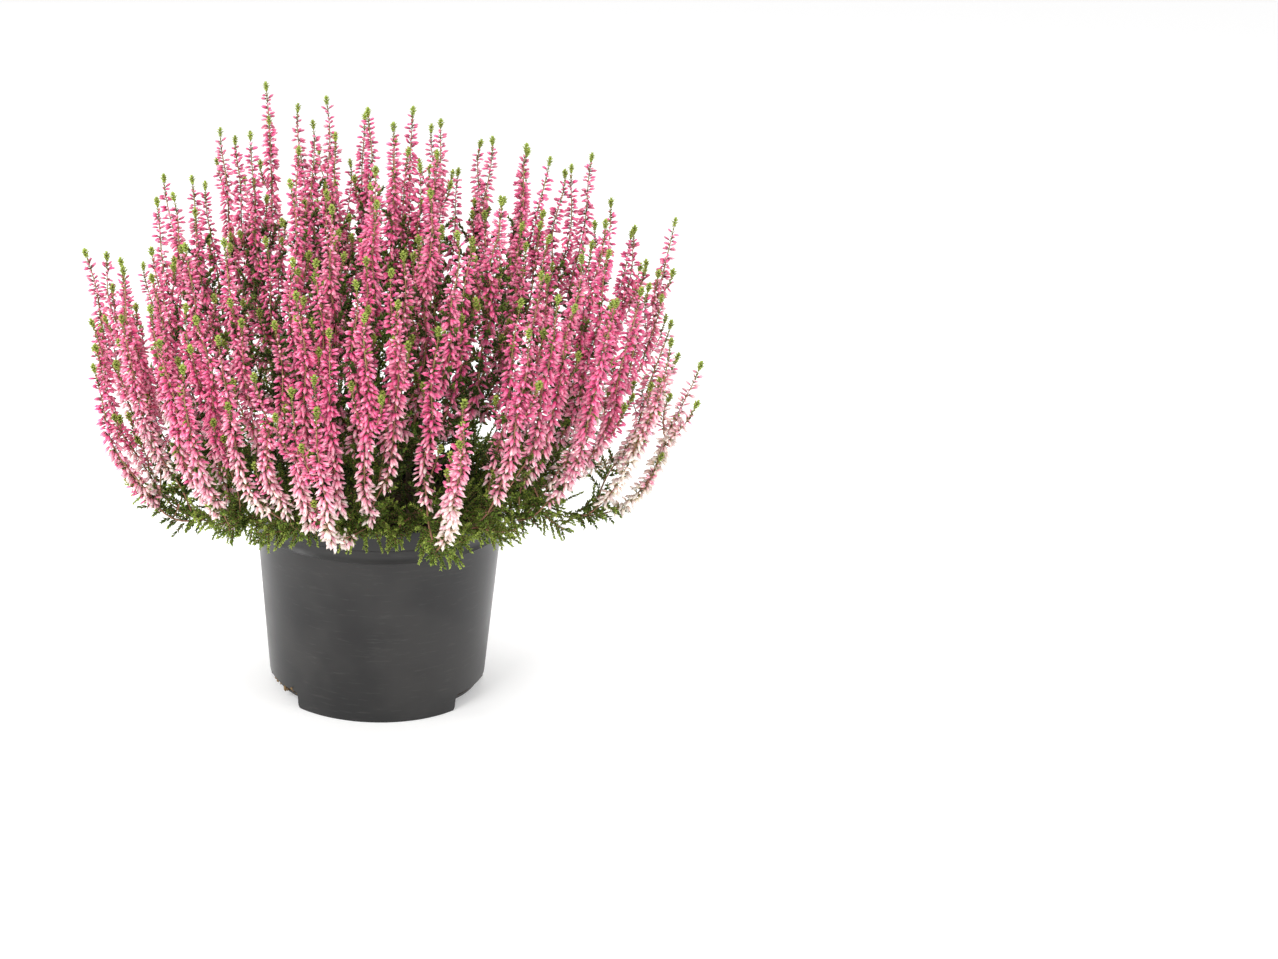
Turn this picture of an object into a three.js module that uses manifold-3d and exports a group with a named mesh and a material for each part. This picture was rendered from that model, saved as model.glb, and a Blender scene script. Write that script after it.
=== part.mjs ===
// A pink bud heather in a 12 cm nursery pot. Millimetres, +Z up, front towards -Y, origin under the pot.
// The branches stand in the compost of the pot, and each one carries a few flower spikes and green side shoots.
import * as THREE from 'three';
import { mergeVertices } from 'three/addons/utils/BufferGeometryUtils.js';
import Module from 'manifold-3d';

const wasm = await Module();
wasm.setup();

const gap = 0.35; // air between neighbouring pieces
const crossingVolume = 0.004; // cubic millimetres, less than this is two strands that only meet

const pot = {
  rimRadius: 61, // a 12 cm pot
  height: 98.8,
  bandHeight: 9, // plain band of the rim
  bandStep: 1.1, // how far the band stands out of the neck under it
  lineHeight: 82.6, // crisp line under the neck
  lineRadius: 59.5,
  lineStep: 0.7,
  footRadius: 52.8,
  wall: 1.3,
  plateBottom: 4.2,
  plateTop: 5.6,
  sides: 32,
  notchHeight: 8.2,
  notchWidth: 42,
  notchChamfer: 1.6,
  notchDepth: 6.8,
  notchTurns: [-69, 69, 180], // degrees from the front, positive to the right
};

const compost = { top: 87.5, dome: 1.5, lumps: 1.2, rings: [0.62], holeDepth: 11 };

// The view in which the spikes were measured: eye distance, tilt and the height looked at
const view = { distance: 984, tiltDeg: 18, lookHeight: 104.6 };

// Green tips as seen from the front: across and up from the middle of the rim, row by row from the top
const sightings = [
  [-58, 196], [-39, 186], [-31, 190], [-12, 184], [5, 178], [24, 177],
  [-79, 174], [-66, 172], [-43, 165], [-25, 172], [0, 155], [9, 167], [14, 160], [25, 160], [47, 170], [77, 162],
  [101, 164], [-111, 139], [-106, 151], [-101, 142], [-94, 150], [-94, 134], [-46, 145], [-28, 144], [-19, 150],
  [-5, 142], [2, 147], [23, 145], [50, 135], [57, 144], [63, 142], [111, 142], [107, 132], [140, 134],
  [-144, 114], [-134, 112], [-128, 109], [-115, 113], [-104, 115], [-77, 123], [-76, 114], [-57, 121], [-46, 111],
  [-22, 132], [2, 120], [19, 126], [24, 132], [36, 125], [42, 122], [64, 121], [69, 129], [86, 119], [95, 113],
  [115, 113], [-124, 106], [-118, 100], [-37, 97], [-34, 107], [-14, 105], [-10, 110], [-1, 108], [11, 91],
  [69, 92], [79, 104], [89, 97], [94, 88], [98, 101], [115, 95], [121, 102], [127, 98],
  [-136, 82], [-127, 84], [-112, 88], [-107, 71], [-95, 86], [-86, 82], [-81, 76], [-74, 77], [-44, 81],
  [-31, 77], [-14, 86], [27, 76], [80, 84], [135, 78], [143, 80], [146, 68], [-134, 61], [-94, 61], [-57, 55],
  [-37, 51], [41, 47], [-33, 43], [36, 32],
];

// The dome that the tips reach, and the spikes that fill it where the front view doesn't reach
const crown = {
  base: 150,
  rise: 137,
  radius: 148,
  power: 2.4,
  depthLow: 28, // how much deeper than the crown's face a tip may lie, in the lower rows
  depthHigh: 125, // and in the top rows
  lowRow: 100,
  highRow: 145,
};
const rear = { count: 34, foremost: 0, reach: 0.97, tries: 16, heightSpread: 26 };

// The course of the outermost stem, as distance from the axis and height, from the soil up.
// All other stems follow it at a share of its distance, and stand higher by the lift.
const course = [
  [40, 82], [40.5, 92], [49, 102.5], [70, 105.5], [88, 104], [106, 114], [124, 142], [135, 182], [142, 222],
  [147, 262], [150, 302],
];
const lift = { height: 75, until: 0.45 };
const rimShare = 0.96; // no stem lies further out than this where it passes the rim
const rimPassed = [0.26, 0.5];

const plant = { branches: 28, frontWeight: 0.6, rearWeight: 0.25, leastApart: 0.115, settling: 24 };

const spike = {
  length: [92, 122], // flowering length
  radius: [5, 5.8],
  sunk: 0.42, // radius between two buds, as a share of the radius over them
  topShare: 0.72, // the buds under the tip are this share of the lower ones
  footRadius: 1.3, // where a side spike sits in its branch
  ringStep: 16,
  leastRadius: 1.1, // kept even beside a spike of the same branch
  merge: 0.12, // a side spike leaves its branch over this share of the course
  sideAfter: 0.025, // and begins at least this far above the branch's first flowers
  neck: 1,
  neckLength: 5,
  tipRadius: 2.1,
  tipSunk: 0.7,
  tipLength: 3,
  apexLength: 2.4,
};

const shoot = {
  inner: 2, // shoots on a branch inside the plant
  outer: 3, // and on one that reaches the skirt
  skirtFrom: 0.7,
  radius: 3.3,
  sunk: 0.4,
  footRadius: 1.2,
  ringStep: 11,
  leastRadius: 0.9,
  length: [22, 36],
  sideways: [0.1, 0.24], // shift of the label
  outward: [0.02, 0.16],
  inward: [-0.08, 0.08],
  firstShare: 0.2,
  tries: 12, // draws for each shoot, of which the one with most room is kept
  leastRoom: 0.9, // and dropped where even that one is cramped
};

const stem = { woodRadius: 1.5, holeRadius: 2.3, leafRadius: 2.5, leafFrom: 101 };

const colours = {
  pot: new THREE.MeshStandardMaterial({ color: 0x3f3d3f, roughness: 0.55, metalness: 0 }),
  compost: new THREE.MeshStandardMaterial({ color: 0x2b2019, roughness: 1, metalness: 0 }),
  leaf: new THREE.MeshStandardMaterial({ color: 0x5c7a34, roughness: 0.8, metalness: 0 }),
  bud: new THREE.MeshStandardMaterial({ color: 0xd4628f, roughness: 0.6, metalness: 0 }),
};

// Small helpers: a fixed draw between 0 and 1, steps and mixes
function draw(index, salt) {
  const wave = Math.sin(index * 12.9898 + salt * 78.233) * 43758.5453;
  return wave - Math.floor(wave);
}
const mix = (a, b, t) => a + (b - a) * t;
const clamp01 = (t) => Math.min(1, Math.max(0, t));
function ease(from, to, t) {
  const u = clamp01((t - from) / (to - from));
  return u * u * (3 - 2 * u);
}

// Smooth curve through the course's points, with share running from 0 at the soil to 1
function courseAt(share) {
  const last = course.length - 1;
  const place = clamp01(share) * last;
  const i = Math.min(Math.floor(place), last - 1);
  const t = place - i;
  const before = course[Math.max(i - 1, 0)];
  const after = course[Math.min(i + 2, last)];
  const through = (k) => {
    const [p0, p1, p2, p3] = [before[k], course[i][k], course[i + 1][k], after[k]];
    const bend = (2 * p0 - 5 * p1 + 4 * p2 - p3) * t * t;
    const twist = (3 * p1 - p0 - 3 * p2 + p3) * t * t * t;
    return 0.5 * (2 * p1 + (p2 - p0) * t + bend + twist);
  };
  return [through(0), through(1)];
}
const liftAt = (share) => lift.height * ease(0, lift.until, share);

// A place in the plant: the label (u, v) says which stem line, the share how far up it
function placeAt(u, v, share) {
  const [reach, height] = courseAt(share);
  const out = Math.hypot(u, v);
  const held = Math.min(out, rimShare) / Math.max(out, 1e-6);
  const free = mix(held, 1, ease(rimPassed[0], rimPassed[1], share));
  const z = height + (1 - out * free) * liftAt(share);
  return new THREE.Vector3(u * free * reach, v * free * reach, z);
}

// The label and share of the stem line through a point, found by halving
function lineThrough(point) {
  const out = Math.hypot(point.x, point.y);
  let low = 0.42;
  let high = 1;
  for (let i = 0; i < 40; i++) {
    const share = (low + high) / 2;
    const [reach, height] = courseAt(share);
    const z = height + (1 - out / reach) * liftAt(share);
    if (z < point.z) low = share;
    else high = share;
  }
  const share = (low + high) / 2;
  const reach = courseAt(share)[0];
  return { u: point.x / reach, v: point.y / reach, share };
}

const crownHeight = (x, y) => {
  const out = Math.hypot(x, y) / crown.radius;
  const inside = Math.max(0, 1 - Math.pow(out, crown.power));
  return crown.base + crown.rise * Math.sqrt(inside) - Math.max(0, out - 1) * 3 * crown.radius;
};

// A tip seen from the front lies where the line of sight first meets the crown, or a little deeper
function sightedTip([across, up], index) {
  const tilt = THREE.MathUtils.degToRad(view.tiltDeg);
  const eye = new THREE.Vector3(0, -view.distance * Math.cos(tilt), view.lookHeight + view.distance * Math.sin(tilt));
  const seen = new THREE.Vector3(across, up * Math.sin(tilt), pot.height + up * Math.cos(tilt));
  const sight = seen.sub(eye).normalize();
  const point = new THREE.Vector3();
  let nearest = Infinity;
  let along = 0;
  for (let step = 700; step < 1150; step++) {
    point.copy(eye).addScaledVector(sight, step);
    const above = point.z - crownHeight(point.x, point.y);
    if (above < nearest) {
      nearest = above;
      along = step;
    }
    if (above < 0) break;
  }
  const inner = 1 - Math.pow(Math.abs(across) / crown.radius, 2);
  const depth = mix(crown.depthLow, crown.depthHigh, ease(crown.lowRow, crown.highRow, up));
  const deeper = depth * Math.max(0, inner) * draw(index, 1);
  return point.copy(eye).addScaledVector(sight, along + deeper);
}

// The rest of the crown: each new tip is the one of a few draws that is furthest from all others
function rearTips(tips) {
  const all = [...tips];
  for (let n = 0; n < rear.count; n++) {
    let best = null;
    let bestApart = -1;
    for (let k = 0; k < rear.tries; k++) {
      const turn = 2 * Math.PI * draw(n * rear.tries + k, 2);
      const out = crown.radius * rear.reach * Math.sqrt(draw(n * rear.tries + k, 3));
      const x = out * Math.cos(turn);
      const y = out * Math.sin(turn);
      if (y < rear.foremost) continue;
      const apart = Math.min(...all.map((tip) => Math.hypot(tip.x - x, tip.y - y)));
      if (apart > bestApart) {
        bestApart = apart;
        best = new THREE.Vector3(x, y, crownHeight(x, y) - rear.heightSpread * draw(n, 4));
      }
    }
    if (best) all.push(best);
  }
  return all;
}

// Push labels apart a little where two stem lines would run too close
function settle(lines) {
  for (let round = 0; round < plant.settling; round++) {
    const pushes = lines.map((line) => {
      let du = 0;
      let dv = 0;
      for (const other of lines) {
        const u = line.u - other.u;
        const v = line.v - other.v;
        const apart = Math.hypot(u, v);
        if (other === line || apart >= plant.leastApart) continue;
        const push = (0.5 * (plant.leastApart - apart)) / Math.max(apart, 1e-6);
        du += u * push;
        dv += v * push;
      }
      return [du, dv];
    });
    lines.forEach((line, i) => {
      line.u += 0.8 * pushes[i][0];
      line.v += 0.8 * pushes[i][1];
    });
  }
}

// Branches: the first main spike is the middle one, and each further one is far from those picked before.
// They stand closer together towards the edge, most of all at the front.
function pickMains(lines) {
  const outness = lines.map(({ u, v }) => Math.hypot(u, v));
  const weights = lines.map(({ v }, i) => 1 + outness[i] ** 2 * (v < 0 ? plant.frontWeight : plant.rearWeight));
  const apart = lines.map(() => Infinity);
  const mains = [];
  let pick = outness.indexOf(Math.min(...outness));
  while (mains.length < plant.branches) {
    const main = lines[pick];
    mains.push(main);
    lines.forEach(({ u, v }, i) => {
      apart[i] = Math.min(apart[i], Math.hypot(u - main.u, v - main.v));
    });
    const scores = apart.map((distance, i) => distance * weights[i]);
    pick = scores.indexOf(Math.max(...scores));
  }
  return mains;
}

// Walk a strand back from its tip until its length is used up, and return that share
function shareBack(u, v, from, length) {
  const shareSteps = 240;
  let share = from;
  let walked = 0;
  let last = placeAt(u, v, share);
  while (walked < length && share > 0) {
    share -= 1 / shareSteps;
    const next = placeAt(u, v, share);
    walked += last.distanceTo(next);
    last = next;
  }
  return Math.max(share, 0);
}

// Points every so many millimetres along a strand whose label glides from the branch's to its own
function strandPath(home, own, from, to, glideTo, step, leadOut) {
  const fine = [];
  const count = 80;
  for (let i = 0; i <= count; i++) {
    const share = mix(from, to, i / count);
    const left = 1 - clamp01((share - from) / (glideTo - from));
    const glide = 1 - left * left;
    fine.push(placeAt(mix(home.u, own.u, glide), mix(home.v, own.v, glide), share));
  }
  const lengths = [0];
  for (let i = 1; i <= count; i++) lengths.push(lengths[i - 1] + fine[i].distanceTo(fine[i - 1]));
  const total = lengths[count];
  const at = (length) => {
    let i = 1;
    while (i < count && lengths[i] < length) i++;
    const t = (length - lengths[i - 1]) / (lengths[i] - lengths[i - 1]);
    return fine[i - 1].clone().lerp(fine[i], t);
  };
  const body = total - leadOut.reduce((sum, length) => sum + length, 0);
  const rings = Math.max(2, Math.round(body / step));
  const stations = [];
  for (let i = 0; i <= rings; i++) stations.push((body * i) / rings);
  for (const length of leadOut) stations.push(stations[stations.length - 1] + length);
  return { points: stations.map(at), bodyRings: rings + 1, total };
}

// A four-sided strand: every other corner of each ring stands out, turned about from ring to ring,
// so that each raised corner is one bud or tuft of leaves and the crossed pairs show.
// A side strand grows out of one four-cornered patch of its branch, which is its first ring.
function ringCorners(strand, j, patch) {
  const { points, radii, sunk } = strand;
  const ahead = points[Math.min(j + 1, points.length - 1)];
  const behind = points[Math.max(j - 1, 0)];
  const along = ahead.clone().sub(behind).normalize();
  if (j === 0 && strand.startAlong) along.copy(strand.startAlong);
  if (j === points.length - 1 && strand.endAlong) along.copy(strand.endAlong);
  const side = new THREE.Vector3(-Math.sin(strand.facing), Math.cos(strand.facing), 0);
  side.addScaledVector(along, -side.dot(along)).normalize();
  const up = along.clone().cross(side);
  let turn = strand.turn;
  if (patch) {
    const first = patch[0].clone().sub(middleOf(patch));
    turn = Math.atan2(first.dot(up), first.dot(side));
  }
  return [0, 1, 2, 3].map((k) => {
    const radius = radii[j] * ((j + k) % 2 === 0 ? 1 : sunk[j]);
    const angle = turn + (k * Math.PI) / 2;
    const corner = points[j].clone().addScaledVector(side, radius * Math.cos(angle));
    return corner.addScaledVector(up, radius * Math.sin(angle));
  });
}

const middleOf = (corners) => corners.reduce((sum, c) => sum.add(c), new THREE.Vector3()).divideScalar(4);

// Adds the strand's rings to a skin, from its own first ring or from a patch of the skin
function growStrand(skin, strand, patch) {
  const first = patch ? patch.map((index) => skin.vertices[index]) : null;
  let ring = patch;
  if (!patch) {
    ring = [0, 1, 2, 3].map((k) => skin.vertices.length + k);
    skin.vertices.push(...ringCorners(strand, 0, null));
    skin.faces.push([ring[0], ring[2], ring[1]], [ring[0], ring[3], ring[2]]);
  }
  const patches = [];
  for (let j = 1; j < strand.points.length; j++) {
    const next = [0, 1, 2, 3].map((k) => skin.vertices.length + k);
    skin.vertices.push(...ringCorners(strand, j, first));
    for (let k = 0; k < 4; k++) {
      const [a, b] = [ring[k], ring[(k + 1) % 4]];
      const [c, d] = [next[k], next[(k + 1) % 4]];
      const cut = (j - 1 + k) % 2 === 0 ? [[a, b, c], [b, d, c]] : [[a, b, d], [a, d, c]];
      patches.push({ corners: [a, b, d, c], faces: cut, taken: false });
      skin.faces.push(...cut);
    }
    ring = next;
  }
  const top = strand.points[strand.points.length - 1];
  const under = strand.points[strand.points.length - 2];
  skin.vertices.push(top.clone().addScaledVector(top.clone().sub(under).normalize(), strand.apexLength));
  const apex = skin.vertices.length - 1;
  for (let k = 0; k < 4; k++) skin.faces.push([ring[k], ring[(k + 1) % 4], apex]);
  return patches;
}

const skinSolid = (skin) => solidFrom(skin.vertices.flatMap((vertex) => vertex.toArray()), skin.faces.flat());

// The patch of the branch that faces the way the side strand leaves, near where it leaves
function patchFor(skin, patches, strand) {
  let best = null;
  let bestScore = 0.2;
  for (const patch of patches) {
    if (patch.taken) continue;
    const [a, b, d, c] = patch.corners.map((index) => skin.vertices[index]);
    const outward = b.clone().sub(c).cross(d.clone().sub(a)).normalize();
    const middle = middleOf([a, b, d, c]);
    const leaving = strand.points[1].clone().sub(middle);
    const score = outward.dot(leaving.normalize()) - 0.08 * middle.distanceTo(strand.points[0]);
    if (score > bestScore) {
      bestScore = score;
      best = patch;
    }
  }
  return best;
}

// One body for a node: its main strand with the side strands grown out of it.
// A side strand that would cut another one on its way is joined by a union instead.
function branchSolid(members) {
  const main = members.find((strand) => strand.isMain);
  const skin = { vertices: [], faces: [] };
  const patches = growStrand(skin, main, null);
  const mainSolid = skinSolid(skin);
  const grown = [mainSolid];
  const crossing = [];
  for (const strand of members.filter((member) => member !== main)) {
    const patch = patchFor(skin, patches, strand);
    const alone = { vertices: [], faces: [] };
    let clear = false;
    if (patch) {
      alone.vertices.push(...patch.corners.map((index) => skin.vertices[index]));
      const [[p, q, r], [t, u, v]] = patch.faces.map((face) => face.map((index) => patch.corners.indexOf(index)));
      alone.faces.push([p, r, q], [t, v, u]);
      growStrand(alone, strand, [0, 1, 2, 3]);
      const solid = skinSolid(alone);
      clear = grown.every((other) => other.intersect(solid).volume() < crossingVolume);
      if (clear) grown.push(solid);
    }
    if (clear) {
      patch.taken = true;
      skin.faces = skin.faces.filter((face) => !patch.faces.includes(face));
      growStrand(skin, strand, patch.corners);
    } else {
      const own = { vertices: [], faces: [] };
      growStrand(own, strand, null);
      crossing.push(skinSolid(own));
    }
  }
  const whole = crossing.reduce((sum, solid) => sum.add(solid), skinSolid(skin));
  const bodies = whole.decompose();
  return bodies.reduce((largest, body) => (body.volume() > largest.volume() ? body : largest));
}

function solidFrom(positions, indices) {
  const mesh = new wasm.Mesh({
    numProp: 3,
    vertProperties: new Float32Array(positions),
    triVerts: new Uint32Array(indices),
  });
  return new wasm.Manifold(mesh);
}

function solidFromGeometry(geometry) {
  geometry.deleteAttribute('normal');
  geometry.deleteAttribute('uv');
  const merged = mergeVertices(geometry, 1e-3);
  return solidFrom(merged.attributes.position.array, merged.index.array);
}

function namedMesh(name, solid, material) {
  const { vertProperties, triVerts } = solid.getMesh();
  const geometry = new THREE.BufferGeometry();
  geometry.setAttribute('position', new THREE.BufferAttribute(new Float32Array(vertProperties), 3));
  geometry.setIndex(new THREE.BufferAttribute(new Uint32Array(triVerts), 1));
  geometry.computeVertexNormals();
  const mesh = new THREE.Mesh(geometry, material);
  mesh.name = name;
  return mesh;
}

// Lines of all stems
const tips = rearTips(sightings.map(sightedTip));
const lines = tips.map(lineThrough);
settle(lines);
const mains = pickMains(lines);
lines.forEach((line, i) => {
  line.index = i;
  const apart = mains.map((main) => Math.hypot(main.u - line.u, main.v - line.v));
  line.branch = apart.indexOf(Math.min(...apart));
  line.from = shareBack(line.u, line.v, line.share, mix(spike.length[0], spike.length[1], draw(i, 5)));
  line.from = Math.max(line.from, 0.4);
});

function alongAt(line, share) {
  return placeAt(line.u, line.v, share + 0.01).sub(placeAt(line.u, line.v, share - 0.01)).normalize();
}

// Strands of every branch, before the neighbours trim their radii
const nodeName = (kind, branch) => `${kind}_${String(branch + 1).padStart(2, '0')}`;

function flowerStrand(main, line) {
  const isMain = line === main;
  const from = isMain ? main.flowerFrom : Math.max(line.from, main.flowerFrom + spike.sideAfter);
  const glideTo = isMain ? from + 0.001 : Math.min(from + spike.merge, line.share);
  const leadOut = [spike.neckLength, spike.tipLength];
  const path = strandPath(main, line, from, line.share, glideTo, spike.ringStep, leadOut);
  const size = mix(spike.radius[0], spike.radius[1], draw(line.index, 6));
  const bodyRings = path.bodyRings;
  const radii = path.points.map((_, j) => {
    if (j === bodyRings) return spike.neck;
    if (j > bodyRings) return spike.tipRadius;
    const taper = mix(1, spike.topShare, ease(0.5, 1, j / (bodyRings - 1)));
    return j === 0 && !isMain ? spike.footRadius : size * taper;
  });
  return {
    node: nodeName('flowers', line.branch),
    branch: line.branch,
    isMain,
    points: path.points,
    radii,
    sunk: path.points.map((_, j) => (j >= bodyRings ? spike.tipSunk : spike.sunk)),
    turn: Math.PI * draw(line.index, 7),
    facing: Math.atan2(line.v, line.u),
    startAlong: isMain ? alongAt(main, from) : null,
    apexLength: spike.apexLength,
  };
}

// The stem of a branch: bare wood in its hole and just over it, then leaves up to the flowers
function stemStrand(main) {
  const { points } = strandPath(main, main, 0, main.flowerFrom, 1, shoot.ringStep, []);
  const foot = points[0].clone();
  foot.z = compost.top - compost.holeDepth + gap;
  points.unshift(foot);
  points[points.length - 1].addScaledVector(alongAt(main, main.flowerFrom), -gap);
  const woody = points.map((point) => point.z < stem.leafFrom);
  return {
    node: nodeName('leafy_branch', main.branch),
    branch: main.branch,
    isMain: true,
    points,
    radii: woody.map((bare) => (bare ? stem.woodRadius : stem.leafRadius)),
    sunk: woody.map((bare) => (bare ? 1 : shoot.sunk)),
    turn: Math.PI * draw(main.index, 8),
    facing: Math.atan2(main.v, main.u),
    endAlong: alongAt(main, main.flowerFrom),
    apexLength: 0,
  };
}

function shootStrand(main, k, count, attempt) {
  const seed = (main.branch * 8 + k) * shoot.tries + attempt;
  const out = Math.hypot(main.u, main.v);
  const [ru, rv] = [main.u / out, main.v / out];
  const reach = out > shoot.skirtFrom ? shoot.outward : shoot.inward;
  const away = mix(reach[0], reach[1], draw(seed, 9));
  const hand = (k + attempt) % 2 === 0 ? 1 : -1;
  const aside = hand * mix(shoot.sideways[0], shoot.sideways[1], draw(seed, 10));
  const own = { u: main.u + ru * away - rv * aside, v: main.v + rv * away + ru * aside };
  const from = mix(shoot.firstShare, main.flowerFrom - 0.03, (k + 0.5 * draw(seed, 11)) / count);
  const length = mix(shoot.length[0], shoot.length[1], draw(seed, 12));
  let to = from + 0.02;
  let path = null;
  do {
    to += 0.01;
    path = strandPath(main, own, from, to, to, shoot.ringStep, []);
  } while (path.total < length && to < 1);
  const last = path.points.length - 1;
  return {
    node: nodeName('leafy_branch', main.branch),
    branch: main.branch,
    isMain: false,
    points: path.points,
    radii: path.points.map((_, j) => (j === 0 ? shoot.footRadius : shoot.radius * (j === last ? 0.7 : 1))),
    sunk: path.points.map((_, j) => (j === 0 ? 1 : shoot.sunk)),
    turn: Math.PI * draw(seed, 13),
    facing: Math.atan2(own.v, own.u),
    apexLength: 4,
  };
}

// Nothing may touch a strand of another node, so each ring keeps to its half of the space between
function distanceToSegment(point, a, b) {
  const along = b.clone().sub(a);
  const t = clamp01(point.clone().sub(a).dot(along) / along.lengthSq());
  return point.distanceTo(along.multiplyScalar(t).add(a));
}

function roomAround(point, strand, sameNode) {
  let room = Infinity;
  for (const other of strands) {
    if (other === strand || (other.node === strand.node) !== sameNode) continue;
    if (other.branch === strand.branch && other.isMain && strand.isMain) continue;
    if (other.points[0].distanceTo(point) > other.reach + 16) continue;
    for (let i = sameNode && !other.isMain ? 2 : 1; i < other.points.length; i++) {
      room = Math.min(room, distanceToSegment(point, other.points[i - 1], other.points[i]));
    }
  }
  return (room - gap) / 2;
}

const strands = [];
function addStrand(strand) {
  strand.reach = Math.max(...strand.points.map((point) => point.distanceTo(strand.points[0])));
  strands.push(strand);
}
for (const main of mains) {
  const members = lines.filter((line) => line.branch === main.branch);
  main.flowerFrom = Math.min(...members.map((line) => line.from));
  for (const line of members) addStrand(flowerStrand(main, line));
  addStrand(stemStrand(main));
}
for (const main of mains) {
  const shoots = Math.hypot(main.u, main.v) > shoot.skirtFrom ? shoot.outer : shoot.inner;
  for (let k = 0; k < shoots; k++) {
    let best = null;
    let bestRoom = -Infinity;
    for (let attempt = 0; attempt < shoot.tries; attempt++) {
      const tried = shootStrand(main, k, shoots, attempt);
      const rooms = tried.points.slice(1).map((point, j) => {
        const between = point.clone().lerp(tried.points[j], 0.5);
        const others = Math.min(roomAround(point, tried, false), roomAround(between, tried, false));
        return Math.min(others, roomAround(point, tried, true) + (j === 0 ? 1 : 0));
      });
      const room = Math.min(shoot.radius, ...rooms);
      if (room > bestRoom) {
        bestRoom = room;
        best = tried;
      }
    }
    if (bestRoom > shoot.leastRoom) addStrand(best);
  }
}
for (const strand of strands) {
  const least = strand.node.startsWith('flowers') ? spike.leastRadius : shoot.leastRadius;
  strand.radii = strand.radii.map((radius, j) => {
    const beside = Math.max(least, roomAround(strand.points[j], strand, true));
    return Math.min(radius, beside, roomAround(strand.points[j], strand, false));
  });
}

// The pot: a revolved wall with its rim, neck, foot ring and raised plate, less the drain notches
function potSolid() {
  const { rimRadius, height, bandHeight, bandStep, lineHeight, lineRadius, lineStep, footRadius, wall } = pot;
  const neck = rimRadius - bandStep;
  const slope = (lineRadius - footRadius) / lineHeight;
  const outline = [
    [footRadius, 0], [lineRadius, lineHeight], [lineRadius + lineStep, lineHeight + 0.5],
    [neck - 0.6, lineHeight + 3], [neck, height - bandHeight - 0.8], [rimRadius, height - bandHeight],
    [rimRadius, height - 0.5], [rimRadius - 0.5, height], [rimRadius - wall, height],
    [lineRadius - wall, lineHeight], [footRadius + slope * pot.plateTop - wall, pot.plateTop],
    [0, pot.plateTop], [0, pot.plateBottom], [footRadius + slope * pot.plateBottom - wall, pot.plateBottom],
    [footRadius - wall, 0], [footRadius, 0],
  ];
  const turned = new THREE.LatheGeometry(outline.map(([r, z]) => new THREE.Vector2(r, z)), pot.sides);
  turned.rotateX(Math.PI / 2);
  let body = solidFromGeometry(turned);
  const [half, top, cut] = [pot.notchWidth / 2, pot.notchHeight, pot.notchChamfer];
  const opening = new THREE.Shape([
    new THREE.Vector2(-half, -1), new THREE.Vector2(half, -1), new THREE.Vector2(half - 0.6, top - cut),
    new THREE.Vector2(half - cut - 0.6, top), new THREE.Vector2(cut + 0.6 - half, top),
    new THREE.Vector2(0.6 - half, top - cut),
  ]);
  for (const turn of pot.notchTurns) {
    const notch = new THREE.ExtrudeGeometry(opening, { depth: 2 * pot.notchDepth, bevelEnabled: false });
    notch.rotateX(Math.PI / 2);
    notch.translate(0, pot.notchDepth - footRadius, 0);
    notch.rotateZ(THREE.MathUtils.degToRad(turn));
    body = body.subtract(solidFromGeometry(notch));
  }
  return body;
}

// The compost fills the pot up to its lumpy top and has a plain hole for each stem
function compostSolid(stems) {
  const slope = (pot.lineRadius - pot.footRadius) / pot.lineHeight;
  const wallAt = (z) => pot.footRadius + slope * z - pot.wall - gap;
  const bottom = pot.plateTop + gap;
  const vertices = [[0, 0, bottom]];
  const ring = (radius, heightAt) => {
    for (let k = 0; k < pot.sides; k++) {
      const angle = (2 * Math.PI * k) / pot.sides;
      vertices.push([radius * Math.sin(angle), radius * Math.cos(angle), heightAt(k)]);
    }
  };
  ring(wallAt(bottom), () => bottom);
  ring(wallAt(compost.top), () => compost.top);
  [...compost.rings].reverse().forEach((share, n) => {
    const lump = (k) => compost.lumps * (draw(k + n * pot.sides, 14) - 0.5);
    ring(share * wallAt(compost.top), (k) => compost.top + compost.dome * (1 - share * share) + lump(k));
  });
  vertices.push([0, 0, compost.top + compost.dome]);
  const faces = [];
  const rings = compost.rings.length + 2;
  for (let k = 0; k < pot.sides; k++) {
    const next = (k + 1) % pot.sides;
    faces.push([0, 1 + k, 1 + next]);
    for (let j = 0; j < rings - 1; j++) {
      const [a, b] = [1 + j * pot.sides + k, 1 + j * pot.sides + next];
      faces.push([a, a + pot.sides, b], [b, a + pot.sides, b + pot.sides]);
    }
    const top = 1 + (rings - 1) * pot.sides;
    faces.push([top + k, vertices.length - 1, top + next]);
  }
  let soil = solidFrom(vertices.flat(), faces.flat());
  for (const { x, y } of stems) {
    const hole = new THREE.CylinderGeometry(stem.holeRadius, stem.holeRadius, 2 * compost.holeDepth, 5);
    hole.rotateX(Math.PI / 2);
    hole.translate(x, y, compost.top);
    soil = soil.subtract(solidFromGeometry(hole));
  }
  return soil;
}

const group = new THREE.Group();
group.add(namedMesh('pot', potSolid(), colours.pot));
const stemFeet = strands.filter((strand) => strand.isMain && strand.points[0].z < compost.top);
group.add(namedMesh('compost', compostSolid(stemFeet.map((strand) => strand.points[0])), colours.compost));
for (const name of [...new Set(strands.map((strand) => strand.node))].sort()) {
  const body = branchSolid(strands.filter((strand) => strand.node === name));
  group.add(namedMesh(name, body, name.startsWith('flowers') ? colours.bud : colours.leaf));
}

export default group;
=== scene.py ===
# Pink bud heather in a 12 cm nursery pot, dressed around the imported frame.
# The plant is laid out in millimetres by the same rules as its solids, and the meshes are in metres.
import math

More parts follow.
